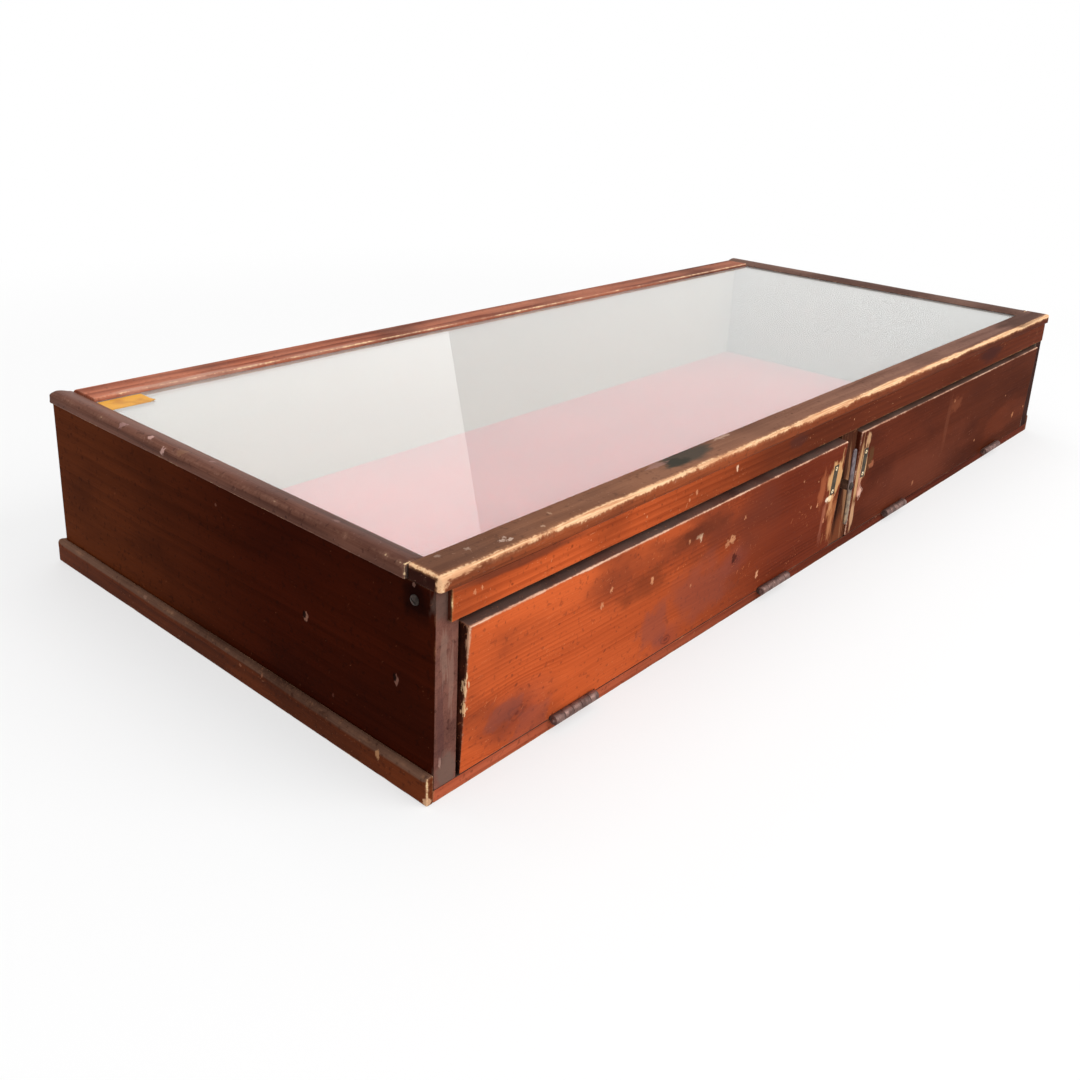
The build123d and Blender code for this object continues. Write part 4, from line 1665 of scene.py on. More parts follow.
# Same door wood as the left door, darkened as painted shade; it darkens further towards the right
# end.
RIGHT_DOOR_WOOD = Wood(
    "Right door", "door_wood", (116, 51, 33), (78, 33, 21), far_light=(88, 40, 22),
    far_dark=(58, 24, 13), pitch=240.0, ring_share=0.36, scratches=0.25, scratch_share=0.6,
    scratch=(176, 112, 84), grime=(66, 29, 19), grime_share=0.6, bare=(180, 128, 104),
    pale=(214, 174, 148), soft=0.2,
    # The grey-brown top is a painted sheen.
    facings=(Facing(UP, (96, 66, 56), (70, 46, 38)),),
    spots=(
        *marks(
            -258,
            (184, 27, 4.4), (371, 35.5, 2.6, 0.8), (507, 40, 6.0, 0.6, (214, 146, 100)),
            (271, 110, 3.0, 0.6), (548, 44, 2.4, 0.8), (460, 78, 2.0, 0.7),
        ),
        *patches(
            Y, -258, 20,
            (259, 85, 5, 30, (132, 76, 54), 0.25, 0.5, 0.6),
            (278, 104, 14, 8, (150, 84, 56), 0.3, 0.7, 0.6),
            (460, 45, 80, 18, (134, 62, 36), 0.25, 0.6, 0.7),
            (200, 40, 120, 30, (120, 62, 44), 0.4, 0.5, 0.7),
        ),
        *patches(
            Y, -260, 20,
            (35.5, 91.2, 6.2, 18.2, (214, 172, 126), 0.9, 0.4, 0.2),
            (36.5, 118, 5, 8, (206, 160, 118), 0.7, 0.6, 0.3),
            (24.5, 82, 3.5, 38, (206, 160, 114), 0.8, 0.6, 0.3),
            (36, 56, 4.5, 6, (232, 184, 162), 0.8, 0.8, 0.4),
            (31.5, 70, 4, 13, (208, 146, 118), 0.7, 0.8, 0.4),
            (50, 94, 6, 12, (92, 66, 40), 0.6, 0.6, 0.4),
            (56, 84, 6, 3.5, (172, 106, 74), 0.6, 0.8, 0.4),
            (26.5, 32, 4, 16, (206, 158, 120), 0.8, 0.5, 0.3),
        ),
    ),
)
HINGE_STEEL = Metal("Hinge steel", "hinge_steel", (138, 108, 100), (76, 57, 54), roughness=0.5)
SCREW_STEEL = Metal("Screw steel", "screw_steel", (66, 55, 49), (28, 21, 18))
PLATE_STEEL = Metal(
    "Blackened plate", "plate_steel", (72, 60, 40), (32, 25, 17), metallic=0.2, roughness=0.7,
)
BRASS = Metal(
    "Worn brass", "brass", (255, 240, 206), (230, 198, 144), rust=(124, 92, 56), rust_share=0.1,
    roughness=0.3, metallic=0.4,
)
COLLAR_METAL = Metal("Collar metal", "button_metal", (112, 78, 58), (74, 48, 36), metallic=0.4)
BUTTON_METAL = Metal(
    "Button metal", "button_metal", (122, 106, 110), (78, 66, 66), rust_share=0.35, roughness=0.35,
    low_colour=(166, 138, 106),
)
GLASS = Glass("Glass", "glass")
FELT = Felt("Red felt", "felt")
LABEL_PAPER = Paper("Label paper", "")
GROUND = Ground("Ground", "")


# ---- Sub-assemblies --------------------------------------------------------------------------


class Side(Enum):
    """An end of the case, by its direction along X."""

    LEFT = -1
    RIGHT = 1

    @property
    def outer(self) -> str:
        """The way to the end, as it is written in the name of an edge."""
        return self.pick("-x", "+x")

    @property
    def inner(self) -> str:
        """The way to the middle, as it is written in the name of an edge."""
        return self.pick("+x", "-x")

    def pick(self, left: Kind, right: Kind) -> Kind:
        """The one of two values that is for this side."""
        return left if self is Side.LEFT else right

    def node(self, name: str) -> str:
        """Name of this side's own piece or joint of a kind."""
        return f"{self.name.lower()}_{name}"


def joint(name: str) -> dict:
    """The frame's joint of that name."""
    return next(found for found in frame["joints"] if found["name"] == name)


def at(*place: float) -> Matrix:
    """The shift from the origin to a place."""
    return Matrix.Translation(place)


def opening(name: str) -> Matrix:
    """How far a door stands open at rest, as the turn that takes it there from closed.

    Args:
        name: the door's joint.

    Returns:
        The turn about the joint's axis.
    """
    found = joint(name)
    centre = Vector(found["pos_m"])
    turn = Matrix.Rotation(math.radians(-found["range_deg"][0]), 4, Vector(found["axis"]))
    return at(*centre) @ turn @ at(*-centre)


def closed_box(node: str, turn: Matrix) -> tuple[Vector, Vector]:
    """Lowest and highest corners of a door's piece when the door is closed.

    Args:
        node: the piece's node in the frame.
        turn: the turn from closed to rest.

    Returns:
        The two corners.
    """
    back = turn.inverted()
    points = np.array([back @ vertex.co for vertex in frame["nodes"][node].data.vertices])
    return Vector(points.min(0)), Vector(points.max(0))


# The upright part of a screw's rim: a share of a round crown, or a length on a flat head.
CROWN_RIM = 0.12
FLAT_RIM, FLAT_BEVEL = 0.12 * MM, 0.1 * MM
CROWN_STEPS = 8
SCREW_TURNS = 24
SLOT_SHARE, LEAST_SLOT = 0.35, 0.7 * MM
HOLE_CLEARANCE = 0.05 * MM


@dataclass(frozen=True)
class Screw:
    """A wood screw with a slotted head, countersunk where it has no crown.

    It points down -Z, with the underside of a round head or the face of a flat one at the origin.
    """

    head: float
    shank: float
    length: float
    slot: float = 0.0
    crown: float = 0.0

    def profile(self) -> Profile:
        """Half section of the screw without its slot.

        Returns:
            The radius and height of each corner.
        """
        head, shank, crown = self.head, self.shank, self.crown
        point = [(0.0, -self.length), (shank, -self.length + shank)]
        if not crown:
            rim = [(head, -FLAT_RIM), (head - FLAT_BEVEL, 0.0)]
            return [*point, (shank, shank - head), *rim, (0.0, 0.0)]
        turns = [step * math.pi / (2 * CROWN_STEPS) for step in range(1, CROWN_STEPS)]
        rises = [CROWN_RIM + (1 - CROWN_RIM) * math.sin(turn) for turn in turns]
        dome = [(head * math.cos(turn), crown * rise) for turn, rise in zip(turns, rises)]
        rim = [(shank, 0.0), (head, 0.0), (head, crown * CROWN_RIM)]
        return [*point, *rim, *dome, (0.0, crown)]

    def build(self) -> bpy.types.Object:
        """Makes the screw.

        Returns:
            The screw.
        """
        floor = self.crown - max(SLOT_SHARE * self.crown, LEAST_SLOT)
        low = (-2 * self.head, -self.slot / 2, floor)
        cut = solid_box("slot", low, (2 * self.head, self.slot / 2, self.crown + MM))
        return combine(lathe("screw", self.profile(), SCREW_TURNS), [cut])

    def hole(self, place: Matrix, shank: float, length: float) -> bpy.types.Object:
        """Cutter for the countersunk hole of the screw.

        Args:
            place: where the screw goes.
            shank: radius of the hole.
            length: depth of the hole.

        Returns:
            The cutter.
        """
        return moved(Screw(self.head + HOLE_CLEARANCE, shank, length).build(), place)

    def dress(
        self, node: str, finish: Finish, places: Sequence[Matrix], body: str = "case",
        turn: Matrix = Matrix.Identity(4)
    ) -> None:
        """Makes a set of such screws as one piece.

        Args:
            node: the node that the piece replaces.
            finish: its finish.
            places: where each screw goes.
            body: the body that they ride on.
            turn: the turn that takes them to rest.
        """
        screws = copies(node + "_dressed", self.build(), places)
        finished(moved(screws, turn), finish, body, node)


def turned(places: Iterable[Vector], facing: Matrix, seed: int) -> list[Matrix]:
    """Screw places, each with its slot left at its own angle.

    Args:
        places: where the screws are.
        facing: the turn that points them.
        seed: which angles are used.

    Returns:
        One matrix for each screw.
    """
    random = np.random.default_rng(seed)
    return [
        at(*place) @ facing @ Matrix.Rotation(random.uniform(0, math.pi), 4, "Z")
        for place in places
    ]


@dataclass
class Hinge:
    """A butt hinge with five knuckles on a loose pin."""

    number: int
    body: str
    ajar: Matrix
    leaf_thickness: float = 1.4 * MM
    leaf_gap: float = 0.2 * MM
    leaf_width: float = 17.5 * MM
    barrel_clearance: float = 0.3 * MM
    knuckle_gap: float = 0.3 * MM
    knuckle_bevel: float = 0.35 * MM
    knuckles: int = 5
    bore_clearance: float = 0.05 * MM
    gain_clearance: float = 1.2 * MM
    recess_clearance: float = 0.2 * MM
    overrun: float = 2 * MM
    web_overlap: float = 0.5 * MM
    screw_pitch: float = 30.5 * MM
    screw_inset: float = 9.5 * MM
    screw_head: float = 2.7 * MM
    screw_shank: float = 1.4 * MM
    screw_slot: float = 0.8 * MM
    screw_hole: float = 6 * MM
    case_screw: float = 7.5 * MM
    door_screw: float = 13 * MM
    turns: int = 40
    pin_turns: int = 28

    def __post_init__(self) -> None:
        """Takes the hinge's place and sizes from the frame."""
        self.name = f"hinge_{self.number}"
        low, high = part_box(self.name + "_pin")
        leaf_low, leaf_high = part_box(self.name + "_case_leaf")
        self.centre = (low + high) / 2
        self.pin = (high.z - low.z) / 2
        self.half_pin = (high.x - low.x) / 2
        self.half = (leaf_high.x - leaf_low.x) / 2
        self.barrel = self.centre.z - leaf_low.z

    def level(self, up: int) -> tuple[float, float]:
        """Underside and top of a leaf about the pin, 1 for the door's and -1 for the case's."""
        inner, outer = self.leaf_gap / 2, self.leaf_gap / 2 + self.leaf_thickness
        return (inner, outer) if up > 0 else (-outer, -inner)

    def across(self, name: str, radius: float, half: float) -> bpy.types.Object:
        """A rod along the pin's axis, about the origin."""
        return moved(spindle(name, -half, half, [(0.0, 0.0), (radius, 0.0)], self.turns), ALONG_X)

    def gain(self, up: int) -> list[bpy.types.Object]:
        """Cutters for the leaf's recess and the barrel's groove in a board.

        Args:
            up: 1 for the door and -1 for the base board.

        Returns:
            The cutters, in place for a closed door.
        """
        bottom, top = self.level(up)
        bottom, top = (bottom - self.overrun, top) if up > 0 else (bottom, top + self.overrun)
        reach = self.half + self.recess_clearance
        width = self.leaf_width + self.recess_clearance
        recess = solid_box("recess", (-reach, 0.0, bottom), (reach, width, top))
        radius, half = self.barrel + self.barrel_clearance, self.half_pin + self.gain_clearance
        groove = self.across("groove", radius, half)
        return [moved(cutter, at(*self.centre)) for cutter in (recess, groove)]

    def screw(self, length: float) -> Screw:
        """A screw of the leaves, of that length."""
        return Screw(self.screw_head, self.screw_shank, length, self.screw_slot)

    def screw_places(self, height: float) -> list[Vector]:
        """Centres of the leaf screws, at a height above the pin."""
        offsets = [(side * self.screw_pitch / 2, self.screw_inset, 0) for side in (-1, 1)]
        return [self.centre + Vector(offset) + Vector((0, 0, height)) for offset in offsets]

    def leaf(self, up: int) -> bpy.types.Object:
        """A leaf with its knuckles, about the pin's centre.

        Args:
            up: 1 for the door's leaf, with the even knuckles, and -1 for the case's.

        Returns:
            The leaf.
        """
        bottom, top = self.level(up)
        start = self.barrel + self.barrel_clearance
        low, high = Vector((-self.half, start, bottom)), Vector((self.half, self.leaf_width, top))
        soft = Arris(0.25, 0.0, 1.0, 0.1)
        plate = Board("plate", low, high, soft, step=3 * MM, seed=self.number).build()
        pitch, bevel = 2 * self.half / self.knuckles, self.knuckle_bevel
        ends = [
            (0.0, 0.0), (self.barrel - bevel, 0.0), (self.barrel - 0.3 * bevel, 0.3 * bevel),
            (self.barrel, bevel)
        ]
        added = []
        for knuckle in range(1 if up > 0 else 0, self.knuckles, 2):
            low = -self.half + pitch * knuckle + self.knuckle_gap / 2
            high = low + pitch - self.knuckle_gap
            behind = (high, start + self.web_overlap, top)
            added.append(solid_box("web", (low, 0.0, bottom), behind))
            added.append(moved(spindle("knuckle", low, high, ends, self.turns), ALONG_X))
        leaf = combine(plate, added, "UNION")
        cuts = [self.across("bore", self.pin + self.bore_clearance, self.half_pin + self.overrun)]
        face, flip = (bottom, UPSIDE_DOWN) if up > 0 else (top, Matrix.Identity(4))
        shank = self.screw_shank + HOLE_CLEARANCE
        for place in self.screw_places(0.0):
            there = at(*(place - self.centre + Vector((0, 0, face)))) @ flip
            cuts.append(self.screw(0.0).hole(there, shank, self.screw_hole))
        return combine(leaf, cuts)

    def dress(self) -> None:
        """Builds both leaves and the pin."""
        still = Matrix.Identity(4)
        for up, body, turn in ((-1, "case", still), (1, self.body, self.ajar)):
            node = self.name + ("_door_leaf" if up > 0 else "_case_leaf")
            leaf = moved(self.leaf(up), turn @ at(*self.centre))
            leaf.name = node + "_dressed"
            finished(leaf, HINGE_STEEL, body, node)
        node, dome = self.name + "_pin", self.pin * 0.3
        ends = [(0.0, 0.0), (self.pin * 0.6, 0.2 * dome), (self.pin, dome)]
        pin = spindle(node + "_dressed", -self.half_pin, self.half_pin, ends, self.pin_turns)
        moved(moved(pin, ALONG_X), at(*self.centre))
        finished(smooth(pin), HINGE_STEEL, "case", node)


@dataclass
class Door:
    """A drop-down door with its strike plate and the screws of its hinges."""

    side: Side
    finish: Wood
    recess_clearance: float = 0.05 * MM
    strike_screw_pitch: float = 25 * MM
    strike_screw: Screw = Screw(2.2 * MM, 1.1 * MM, 9 * MM, 0.7 * MM, crown=0.4 * MM)
    strike_hole: tuple[float, float] = (1.15 * MM, 4 * MM)

    def __post_init__(self) -> None:
        """Takes the door's joint, hinges and plate from the frame."""
        self.body = self.side.node("door")
        self.plate = self.side.node("strike_plate")
        self.ajar = opening(self.body + "_hinge")
        self.plate_box = closed_box(self.plate, self.ajar)
        self.hinges = [
            Hinge(number, self.body, self.ajar) for number in self.side.pick((1, 2), (3, 4))
        ]

    def panel(self) -> None:
        """The door's board, worn pale along its top and splintered at its outer end."""
        node = self.side.node("door_panel")
        board = Board(
            node, *closed_box(node, self.ajar), Arris(1.1, 0.35, 2.2, 0.5),
            {
                "-y+z": Arris(1.3, 0.74, 2.4, 0.8),
                self.side.outer + "-y": Arris(1.4, 0.34, 3.0, 2.0),
                self.side.inner + "-y": Arris(1.4, 0.5, 2.6, 1.0),
            },
            step=4 * MM, seed=self.side.pick(11, 12)
        )
        cuts = [cutter for hinge in self.hinges for cutter in hinge.gain(1)]
        low, high = self.plate_box
        grow = Vector((self.recess_clearance, 0, self.recess_clearance))
        cuts.append(solid_box("recess", low - grow, high + grow))
        board.dress(self.finish, cuts, self.body, self.ajar)

    def strike_screw_places(self) -> list[Vector]:
        """Centres of the strike screws' heads, with the door closed.

        Returns:
            The two places.
        """
        low, high = self.plate_box
        middle = (low + high) / 2
        reach = self.strike_screw_pitch / 2
        return [Vector((middle.x, low.y, middle.z + up * reach)) for up in (-1, 1)]

    def strike(self) -> None:
        """The thin steel plate that the turn button bears on."""
        plate = Board(self.plate, *self.plate_box, Arris(0.3, 0.0, 1.0, 0.1), step=2 * MM)
        holes = [
            self.strike_screw.hole(at(*place) @ INTO_DOORS, *self.strike_hole)
            for place in self.strike_screw_places()
        ]
        plate.dress(PLATE_STEEL, holes, self.body, self.ajar)

    def screws(self) -> None:
        """The screws of the strike plate and of the door's hinge leaves."""
        places = turned(self.strike_screw_places(), INTO_DOORS, seed=5)
        node = self.side.node("strike_screws")
        self.strike_screw.dress(node, BRASS, places, self.body, self.ajar)
        heads = [place for hinge in self.hinges for place in hinge.screw_places(hinge.level(1)[0])]
        node, places = self.side.node("door_leaf_screws"), turned(heads, UPSIDE_DOWN, seed=6)
        screw = self.hinges[0].screw(self.hinges[0].door_screw)
        screw.dress(node, SCREW_STEEL, places, self.body, self.ajar)

    def dress(self) -> None:
        """Builds the door and its fittings."""
        self.panel()
        self.strike()
        self.screws()
        for hinge in self.hinges:
            hinge.dress()


@dataclass
class Carcase:
    """Base, walls, door rail, stop strip and stile."""

    hinges: list[Hinge]
    overrun: float = 2 * MM
    plain: Arris = Arris(0.9, 0.42, 2.0, 0.35)
    stop_screw: tuple[float, float, float] = (2.2 * MM, 45 * MM, 1.0 * MM)

    def base(self) -> None:
        """The base board, with a gain for each hinge."""
        soft = {"-y+z": Arris(0.6, 0.0, 1.5, 0.2)}
        board = Board.of("base_board", self.plain, arrises=soft, step=7 * MM, seed=21)
        board.dress(BASE_WOOD, [cutter for hinge in self.hinges for cutter in hinge.gain(-1)])

    def end_board(self, side: Side, finish: Wood) -> None:
        """An end wall, housed for the door rail.

        Args:
            side: the end that it closes.
            finish: its finish.
        """
        board = Board.of(
            side.node("end_board"), Arris(0.8, 0.25, 1.5, 0.2),
            arrises={side.outer + "-y": Arris(1.1, 0.12, 2.2, 0.5)},
            step=7 * MM, seed=side.pick(31, 32)
        )
        low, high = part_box("door_rail")
        near = side.pick(low.x, board.low.x - self.overrun)
        far = side.pick(board.high.x + self.overrun, high.x)
        start = (near, board.low.y - self.overrun, low.z)
        housing = solid_box("housing", start, (far, high.y, board.high.z + self.overrun))
        board.dress(finish, [housing])

    def walls(self) -> None:
        """The wall of the customer's side, the rail over the doors, its stop and the stile."""
        inside, stop = Arris(0.5, 0.2, 1.0, 0.0), Arris(1.2, 0.3, 2.0, 0.0)
        rail = {"-y-z": Arris(1.2, 0.3, 1.8, 0.5), "-y+z": Arris(0.5, 0.0, 1.5, 0.0)}
        for board, finish in (
            (Board.of("front_board", inside, step=9 * MM, seed=41), FRONT_STAIN),
            (Board.of("door_rail", self.plain, arrises=rail, step=4 * MM, seed=51), RAIL_WOOD),
            (Board.of("door_stop", stop, step=9 * MM, seed=52), STOP_WOOD),
            (Board.of("centre_stile", self.plain, step=4 * MM, seed=53), STILE_WOOD),
        ):
            board.dress(finish)

    def screws(self) -> None:
        """The screws of the stop strip and of the case's hinge leaves."""
        low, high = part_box("stop_screws")
        middle, places = (low + high) / 2, []
        for side in Side:
            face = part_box(side.node("end_board"))[side.pick(0, 1)].x
            outward = Matrix.Rotation(side.value * math.pi / 2, 4, "Y")
            places += turned([Vector((face, middle.y, middle.z))], outward, seed=8)
        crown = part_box("left_end_board")[0].x - low.x
        screw = Screw((high.z - low.z) / 2, *self.stop_screw, crown)
        screw.dress("stop_screws", SCREW_STEEL, places)
        heads = [place for hinge in self.hinges for place in hinge.screw_places(hinge.level(-1)[1])]
        places = turned(heads, Matrix.Identity(4), seed=9)
        screw = self.hinges[0].screw(self.hinges[0].case_screw)
        screw.dress("case_leaf_screws", SCREW_STEEL, places)

    def dress(self) -> None:
        """Builds the carcase."""
        self.base()
        self.end_board(Side.LEFT, END_STAIN_AND_SHADE)
        self.end_board(Side.RIGHT, RIGHT_END_STAIN)
        self.walls()
        self.screws()


@dataclass
class TopFrame:
    """The rails and mouldings that hold the glass down."""

    edge_gap: float = 0.5 * MM
    top_gap: float = 0.2 * MM
    overrun: float = 2 * MM

    def dress_rebated(self, board: Board, finish: Wood) -> None:
        """Makes a board of the frame, with the room for the glass cut in its underside.

        Args:
            board: a rail or moulding.
            finish: its finish.
        """
        low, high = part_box("glass_pane")
        below = low - Vector((self.edge_gap, self.edge_gap, self.overrun))
        above = high + Vector((self.edge_gap, self.edge_gap, self.top_gap))
        board.dress(finish, [solid_box("rebate", below, above)])

    def rails(self) -> None:
        """The rail over the doors and the rounded rail of the customer's side."""
        near = Board.of(
            "rear_top_rail", Arris(0.9, 0.08, 1.5, 0.4), step=4 * MM, seed=61,
            arrises={
                "-y+z": Arris(3.6, 1.0, 6.2, 2.2), "-x+z": Arris(2.4, 0.85, 4.2, 1.8),
                "-x-y": Arris(3.2, 1.0, 6.0, 2.6), "-x-z": Arris(0.8, 0.0, 1.5, 0.2),
                "-x+y": Arris(0.8, 0.0, 1.5, 0.2), "+x+z": Arris(1.8, 0.7, 3.0, 0.8),
                "+y+z": Arris(1.6, 0.3, 2.0, 0.4), "-y-z": Arris(1.0, 0.0, 1.5, 0.3),
            }
        )
        self.dress_rebated(near, NEAR_TOP_WOOD)
        far = NosedRail.of(
            "front_top_rail", Arris(1.0, 0.3, 2.0, 0.3), step=5 * MM, seed=62,
            arrises={"-y+z": Arris(1.8, 0.5, 3.0, 0.5)}
        )
        self.dress_rebated(far, FAR_TOP_WOOD)

    def side_moulding(self, side: Side) -> None:
        """A rounded moulding over an end board.

        Args:
            side: the end that it is on.
        """
        outer, inner = side.outer, side.inner
        moulding = DomedMoulding.of(
            side.node("top_moulding"), Arris(1.0, 0.3, 1.5, 0.3), step=2 * MM, seed=63,
            inner_side=-side.value,
            arrises={
                outer + "+z": Arris(7.0, 0.2, 6.0, 0.3), outer + "-z": Arris(1.8, 0.5, 2.0, 0.5),
                inner + "+z": Arris(0.6, 0.25, 2.0, 0.1), "+y+z": Arris(6.0, 0.2, 3.0, 0.3),
                outer + "+y": Arris(4.0, 0.2, 3.0, 0.3), outer + "-y": Arris(2.6, 0.5, 3.0, 1.2),
                "-y+z": Arris(3.0, 0.5, 3.0, 1.2),
            }
        )
        self.dress_rebated(moulding, SIDE_MOULDING_WOOD)

    def dress(self) -> None:
        """Builds the top frame."""
        self.rails()
        for side in Side:
            self.side_moulding(side)


@dataclass
class BaseMoulding:
    """The bullnosed strip round the foot of the case, mitred at its two far corners."""

    nose: Arris = Arris(5.4, 0.12, 5.0, 0.4)
    plain: Arris = Arris(1.0, 0.4, 2.0, 0.4)
    end: Arris = Arris(1.8, 0.62, 2.6, 1.2)

    def dress(self) -> None:
        """Builds the three strips."""
        for side in Side:
            strip = MitredBoard.of(
                side.node("base_moulding"), self.plain, step=4 * MM, seed=71,
                arrises={side.outer + "+z": self.nose, side.outer + "-y": self.end},
                out_axis=X, out_side=side.value, mitres=(1,)
            )
            strip.dress(BASE_MOULDING_WOOD)
        front = MitredBoard.of(
            "front_base_moulding", self.plain, arrises={"+y+z": self.nose}, step=5 * MM, seed=72
        )
        front.dress(FRONT_BASE_MOULDING_WOOD)


@dataclass
class TurnButton:
    """The bar that holds both doors shut, its collar and its screw."""

    middle: float = 5.5 * MM
    arm: float = 4.4 * MM
    tip: float = 3.5 * MM
    edge: float = 0.7 * MM
    collar_edge: float = 0.4 * MM
    least_width: float = 0.02 * MM
    stations: int = 48
    corner_points: int = 4
    bore: float = 2.06 * MM
    bore_turns: int = 32
    collar_turns: int = 36
    screw_seat: float = 0.1 * MM
    screw_shank: float = 2.0 * MM
    screw_slot: float = 1.0 * MM
    slot_turn: float = 62.0

    def half_width(self, height: float, low: float, high: float) -> float:
        """Half the bar's width at a height above its pivot.

        Args:
            height: above the pivot, negative below it.
            low: the lower end.
            high: the upper end.

        Returns:
            The half width.
        """
        arm = high - self.tip if height > 0 else -low - self.tip
        share = min(abs(height) / arm, 1)
        past = max(abs(height) - arm, 0)
        width = self.arm + (self.tip - self.arm) * share
        width *= math.sqrt(max(1 - (past / self.tip) ** 2, 0))
        hub = math.sqrt(max(self.middle**2 - height**2, 0))
        return max(width, hub if abs(height) < self.middle else 0)

    def section(self, width: float, half: float) -> list[tuple[float, float]]:
        """Cross-section of the bar, with softened corners.

        Args:
            width: half its width.
            half: half its thickness.

        Returns:
            The points of the section, in order.
        """
        soft = min(self.edge, width * 0.9)
        corner = np.linspace(0, math.pi / 2, self.corner_points)
        return [
            (across * (width - soft + soft * math.cos(a)), out * (half - soft + soft * math.sin(a)))
            for across, out in ((1, -1), (1, 1), (-1, 1), (-1, -1))
            for a in (corner if across * out > 0 else corner[::-1])
        ]

    def bar(self) -> None:
        """The bar: round ends, a wide middle and softened edges."""
        low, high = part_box("turn_button")
        pivot = Vector(joint("turn_button_pivot")["pos_m"])
        bottom, top = low.z - pivot.z, high.z - pivot.z
        half, depth = (high.y - low.y) / 2, (low.y + high.y) / 2
        turns = np.linspace(0, math.pi, self.stations)
        points = []
        for height in bottom + (top - bottom) * (1 - np.cos(turns)) / 2:
            width = max(self.half_width(float(height), bottom, top), self.least_width)
            for x, y in self.section(width, half):
                points.append((pivot.x + x, depth + y, pivot.z + height))
        ring = 4 * self.corner_points
        faces = bands(self.stations, ring)
        last = (self.stations - 1) * ring
        faces += [tuple(range(ring))[::-1], tuple(range(last, last + ring))]
        bar = mesh_object("turn_button_dressed", np.array(points), faces)
        shape = bmesh.new()
        shape.from_mesh(bar.data)
        bmesh.ops.recalc_face_normals(shape, faces=shape.faces)
        shape.to_mesh(bar.data)
        shape.free()
        ends = [(0.0, 0.0), (self.bore, 0.0)]
        hole = spindle("bore", -half * 3, half * 3, ends, self.bore_turns)
        moved(hole, at(pivot.x, depth, pivot.z) @ INTO_DOORS)
        finished(combine(bar, [hole]), BUTTON_METAL, "turn_button", "turn_button")

    def collar(self) -> None:
        """The round collar behind the bar."""
        node, soft = "turn_button_spacer", self.collar_edge
        low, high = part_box(node)
        radius = (high.x - low.x) / 2
        ends = [(self.bore, 0.0), (radius - soft, 0.0), (radius, soft)]
        collar = spindle(node + "_dressed", 0.0, high.y - low.y, ends, self.collar_turns)
        moved(collar, at((low.x + high.x) / 2, high.y, (low.z + high.z) / 2) @ INTO_DOORS)
        finished(smooth(collar), COLLAR_METAL, "case", node)

    def screw(self) -> None:
        """The round-headed screw that the bar turns on."""
        node = "turn_button_screw"
        low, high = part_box(node)
        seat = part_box("turn_button")[0].y - self.screw_seat
        sizes = (self.screw_shank, high.y - seat, self.screw_slot, seat - low.y)
        screw = Screw((high.x - low.x) / 2, *sizes).build()
        place = at((low.x + high.x) / 2, seat, (low.z + high.z) / 2)
        turn = Matrix.Rotation(math.radians(self.slot_turn), 4, "Z")
        moved(screw, place @ (INTO_DOORS @ turn)).name = node + "_dressed"
        finished(screw, SCREW_STEEL, "case", node)

    def dress(self) -> None:
        """Builds the bar, collar and screw."""
        self.bar()
        self.collar()
        self.screw()


@dataclass
class Display:
    """The glass, the felt under it and the bare label stuck to it."""

    felt_ripple: float = 0.35 * MM
    felt_wave: float = 90 * MM
    label_low: tuple[float, float] = (-559 * MM, 186.5 * MM)
    label_high: tuple[float, float] = (-516.5 * MM, 214 * MM)
    label_thickness: float = 0.15 * MM
    label_lift: float = 1.6 * MM
    lift_length: float = 9 * MM
    lift_width: float = 12 * MM

    def glass(self) -> None:
        """The pane, which keeps the frame's own shape."""
        GLASS.dress(frame["nodes"]["glass_pane"])

    def felt(self) -> None:
        """The felt on the floor of the case, not quite flat."""
        low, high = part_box("felt_floor")
        top = Vector((high.x, high.y, high.z - self.felt_ripple))
        piece = Board("felt_floor", low, top, Arris(0.5, 0.0, 1.0, 0.0), step=9 * MM).build()
        for vertex in piece.data.vertices:
            if vertex.co.z > (low.z + top.z) / 2:
                along = np.array([vertex.co.x, vertex.co.y * 1.3])
                vertex.co.z += self.felt_ripple * float(ripple(along, self.felt_wave, 81).mean())
        finished(piece, FELT, "case", "felt_floor")

    def label(self) -> None:
        """The bare label on the glass, with one corner lifted."""
        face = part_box("glass_pane")[1].z
        low = Vector((*self.label_low, face))
        high = Vector((*self.label_high, face + self.label_thickness))
        counts = (25, 17, 2)
        points, quads = box_points([np.linspace(*ends) for ends in zip(low, high, counts)])
        along = (points[:, X] - high.x + self.lift_length) / self.lift_length
        across = (low.y + self.lift_width - points[:, Y]) / self.lift_width
        lift = np.clip(along, 0, 1) * np.clip(across, 0, 1)
        points[:, Z] += lift**2 * self.label_lift
        finished(smooth(mesh_object("bare_label", points, quads)), LABEL_PAPER, "case")

    def dress(self) -> None:
        """Builds the glass, felt and label."""
        self.glass()
        self.felt()
        self.label()


# ---- Studio ----------------------------------------------------------------------------------


@dataclass(frozen=True)
class Lamp:
    """A soft lamp that points at the case: its place, width, height and watts."""

    name: str
    place: Triple
    size: tuple[float, float]
    power: float
    aim: Triple = (0.0, 0.0, 0.08)

    def dress(self) -> None:
        """Hangs the lamp."""
        lamp = bpy.data.lights.new(self.name, "AREA")
        lamp.shape, lamp.energy = "RECTANGLE", self.power
        lamp.size, lamp.size_y = self.size
        holder = placed(self.name, lamp)
        holder.location = self.place
        toward = Vector(self.aim) - Vector(self.place)
        holder.rotation_euler = toward.to_track_quat("-Z", "Y").to_euler()


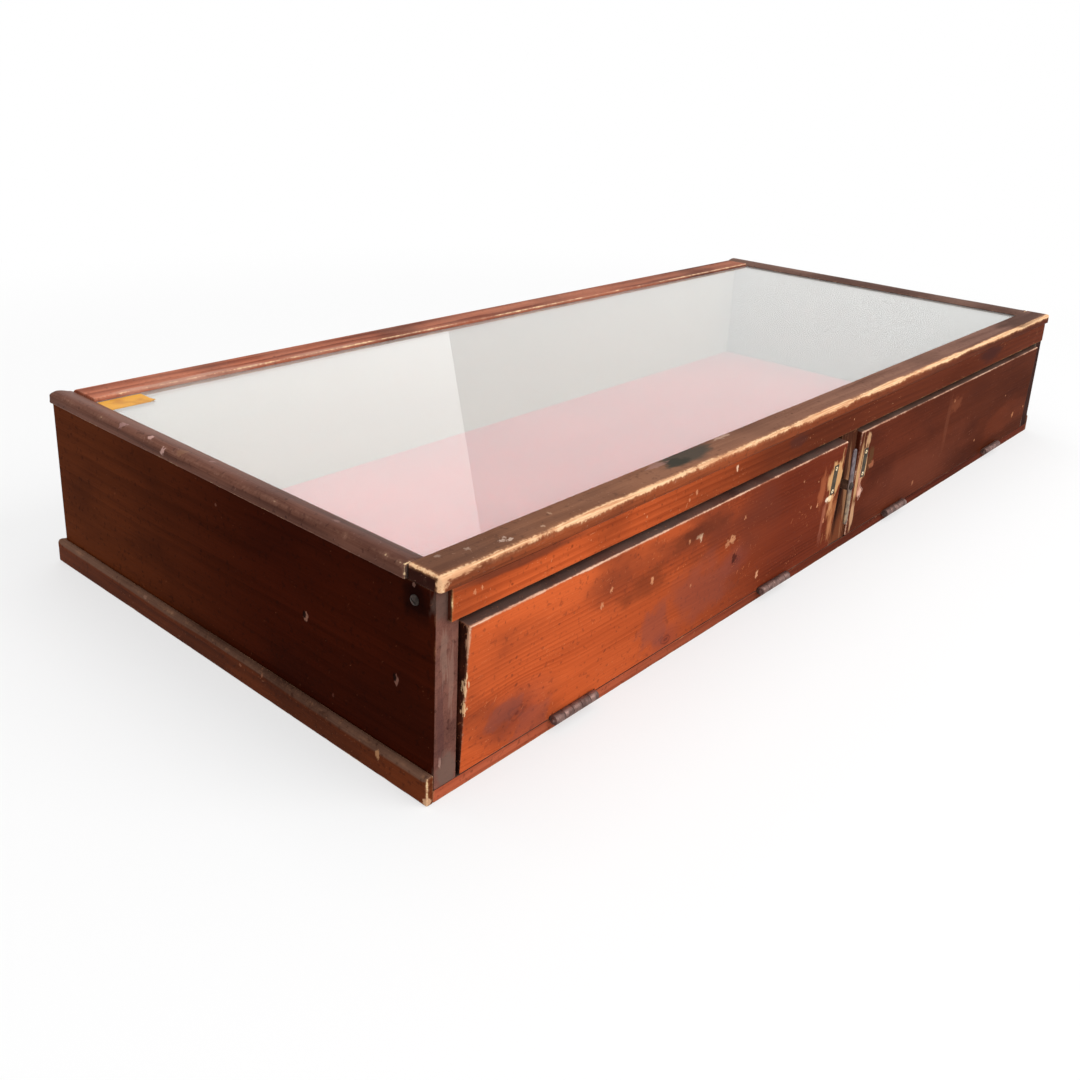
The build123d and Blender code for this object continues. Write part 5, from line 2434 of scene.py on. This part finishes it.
@dataclass
class Studio:
    """Pale floor, soft lamps, white surroundings and the camera."""

    floor_size: float = 14.0
    floor_lines: int = 9
    floor_level: float = -0.2 * MM
    ambient: float = 0.58
    camera_at: Triple = (-1.0121, -0.71189, 0.49047)
    camera_right: Triple = (0.65734, -0.75214, 0.04689)
    camera_down: Triple = (-0.21069, -0.24317, -0.94682)
    camera_view: Triple = (0.72354, 0.61250, -0.31832)
    picture: float = 1080.0
    focal: float = 1098.17
    centre: tuple[float, float] = (552.3, 417.6)
    lamps: tuple[Lamp, ...] = (
        Lamp("Key", (0.7, -2.4, 2.1), (2.2, 2.2), 60.0),
        Lamp("Fill", (-2.6, -0.4, 1.8), (2.2, 2.2), 12.0),
        Lamp("Top", (0.0, 0.4, 3.2), (2.6, 2.6), 30.0),
        Lamp("Back", (1.05, 2.4, 1.55), (1.7, 1.5), 4.0),
    )

    def floor(self) -> None:
        """The floor under the case."""
        half, lines = self.floor_size / 2, self.floor_lines
        stops = np.linspace(-half, half, lines)
        grid = np.array([(x, y, self.floor_level) for y in stops for x in stops])
        corners = [row * lines + i for row in range(lines - 1) for i in range(lines - 1)]
        faces = [(c, c + 1, c + lines + 1, c + lines) for c in corners]
        floor = mesh_object("floor", grid, faces)
        floor.data.materials.append(GROUND.material())

    def world(self) -> None:
        """Surroundings that look white but light the case gently."""
        world = bpy.data.worlds.new("Studio")
        bpy.context.scene.world = world
        world.use_nodes = True
        world.node_tree.nodes.clear()
        graph = Graph(world.node_tree)
        strength = graph.fitted(seen_directly(graph), 1.0 - self.ambient, self.ambient)
        sky = graph.add("ShaderNodeBackground", {"Color": WHITE, "Strength": strength})
        graph.add("ShaderNodeOutputWorld", {"Surface": sky.outputs[0]})

    def camera(self) -> None:
        """The camera, from its measured place and direction."""
        lens = bpy.data.cameras.new("Camera")
        lens.sensor_width = 36.0
        lens.lens = self.focal / self.picture * lens.sensor_width
        lens.shift_x = -(self.centre[0] - self.picture / 2) / self.picture
        lens.shift_y = (self.centre[1] - self.picture / 2) / self.picture
        lens.clip_start = 0.01
        holder = placed("Camera", lens)
        right, down, view = map(Vector, (self.camera_right, self.camera_down, self.camera_view))
        turn = Matrix((right, -down, -view)).transposed().to_4x4()
        holder.matrix_world = at(*self.camera_at) @ turn
        bpy.context.scene.camera = holder

    def dress(self) -> None:
        """Sets up the floor, lamps, surroundings and camera."""
        bpy.context.scene.view_settings.view_transform = "Standard"
        self.floor()
        for lamp in self.lamps:
            lamp.dress()
        self.world()
        self.camera()


def main() -> None:
    """Builds the case in order, then the studio."""
    logging.basicConfig(level=logging.INFO, format="%(message)s")
    doors = [Door(Side.LEFT, LEFT_DOOR_WOOD), Door(Side.RIGHT, RIGHT_DOOR_WOOD)]
    carcase = Carcase([hinge for door in doors for hinge in door.hinges])
    case = (carcase, TopFrame(), BaseMoulding(), *doors, TurnButton(), Display())
    for assembly in (*case, Studio()):
        LOG.info("Building %s", type(assembly).__name__)
        assembly.dress()


if __name__ == "__main__":
    main()
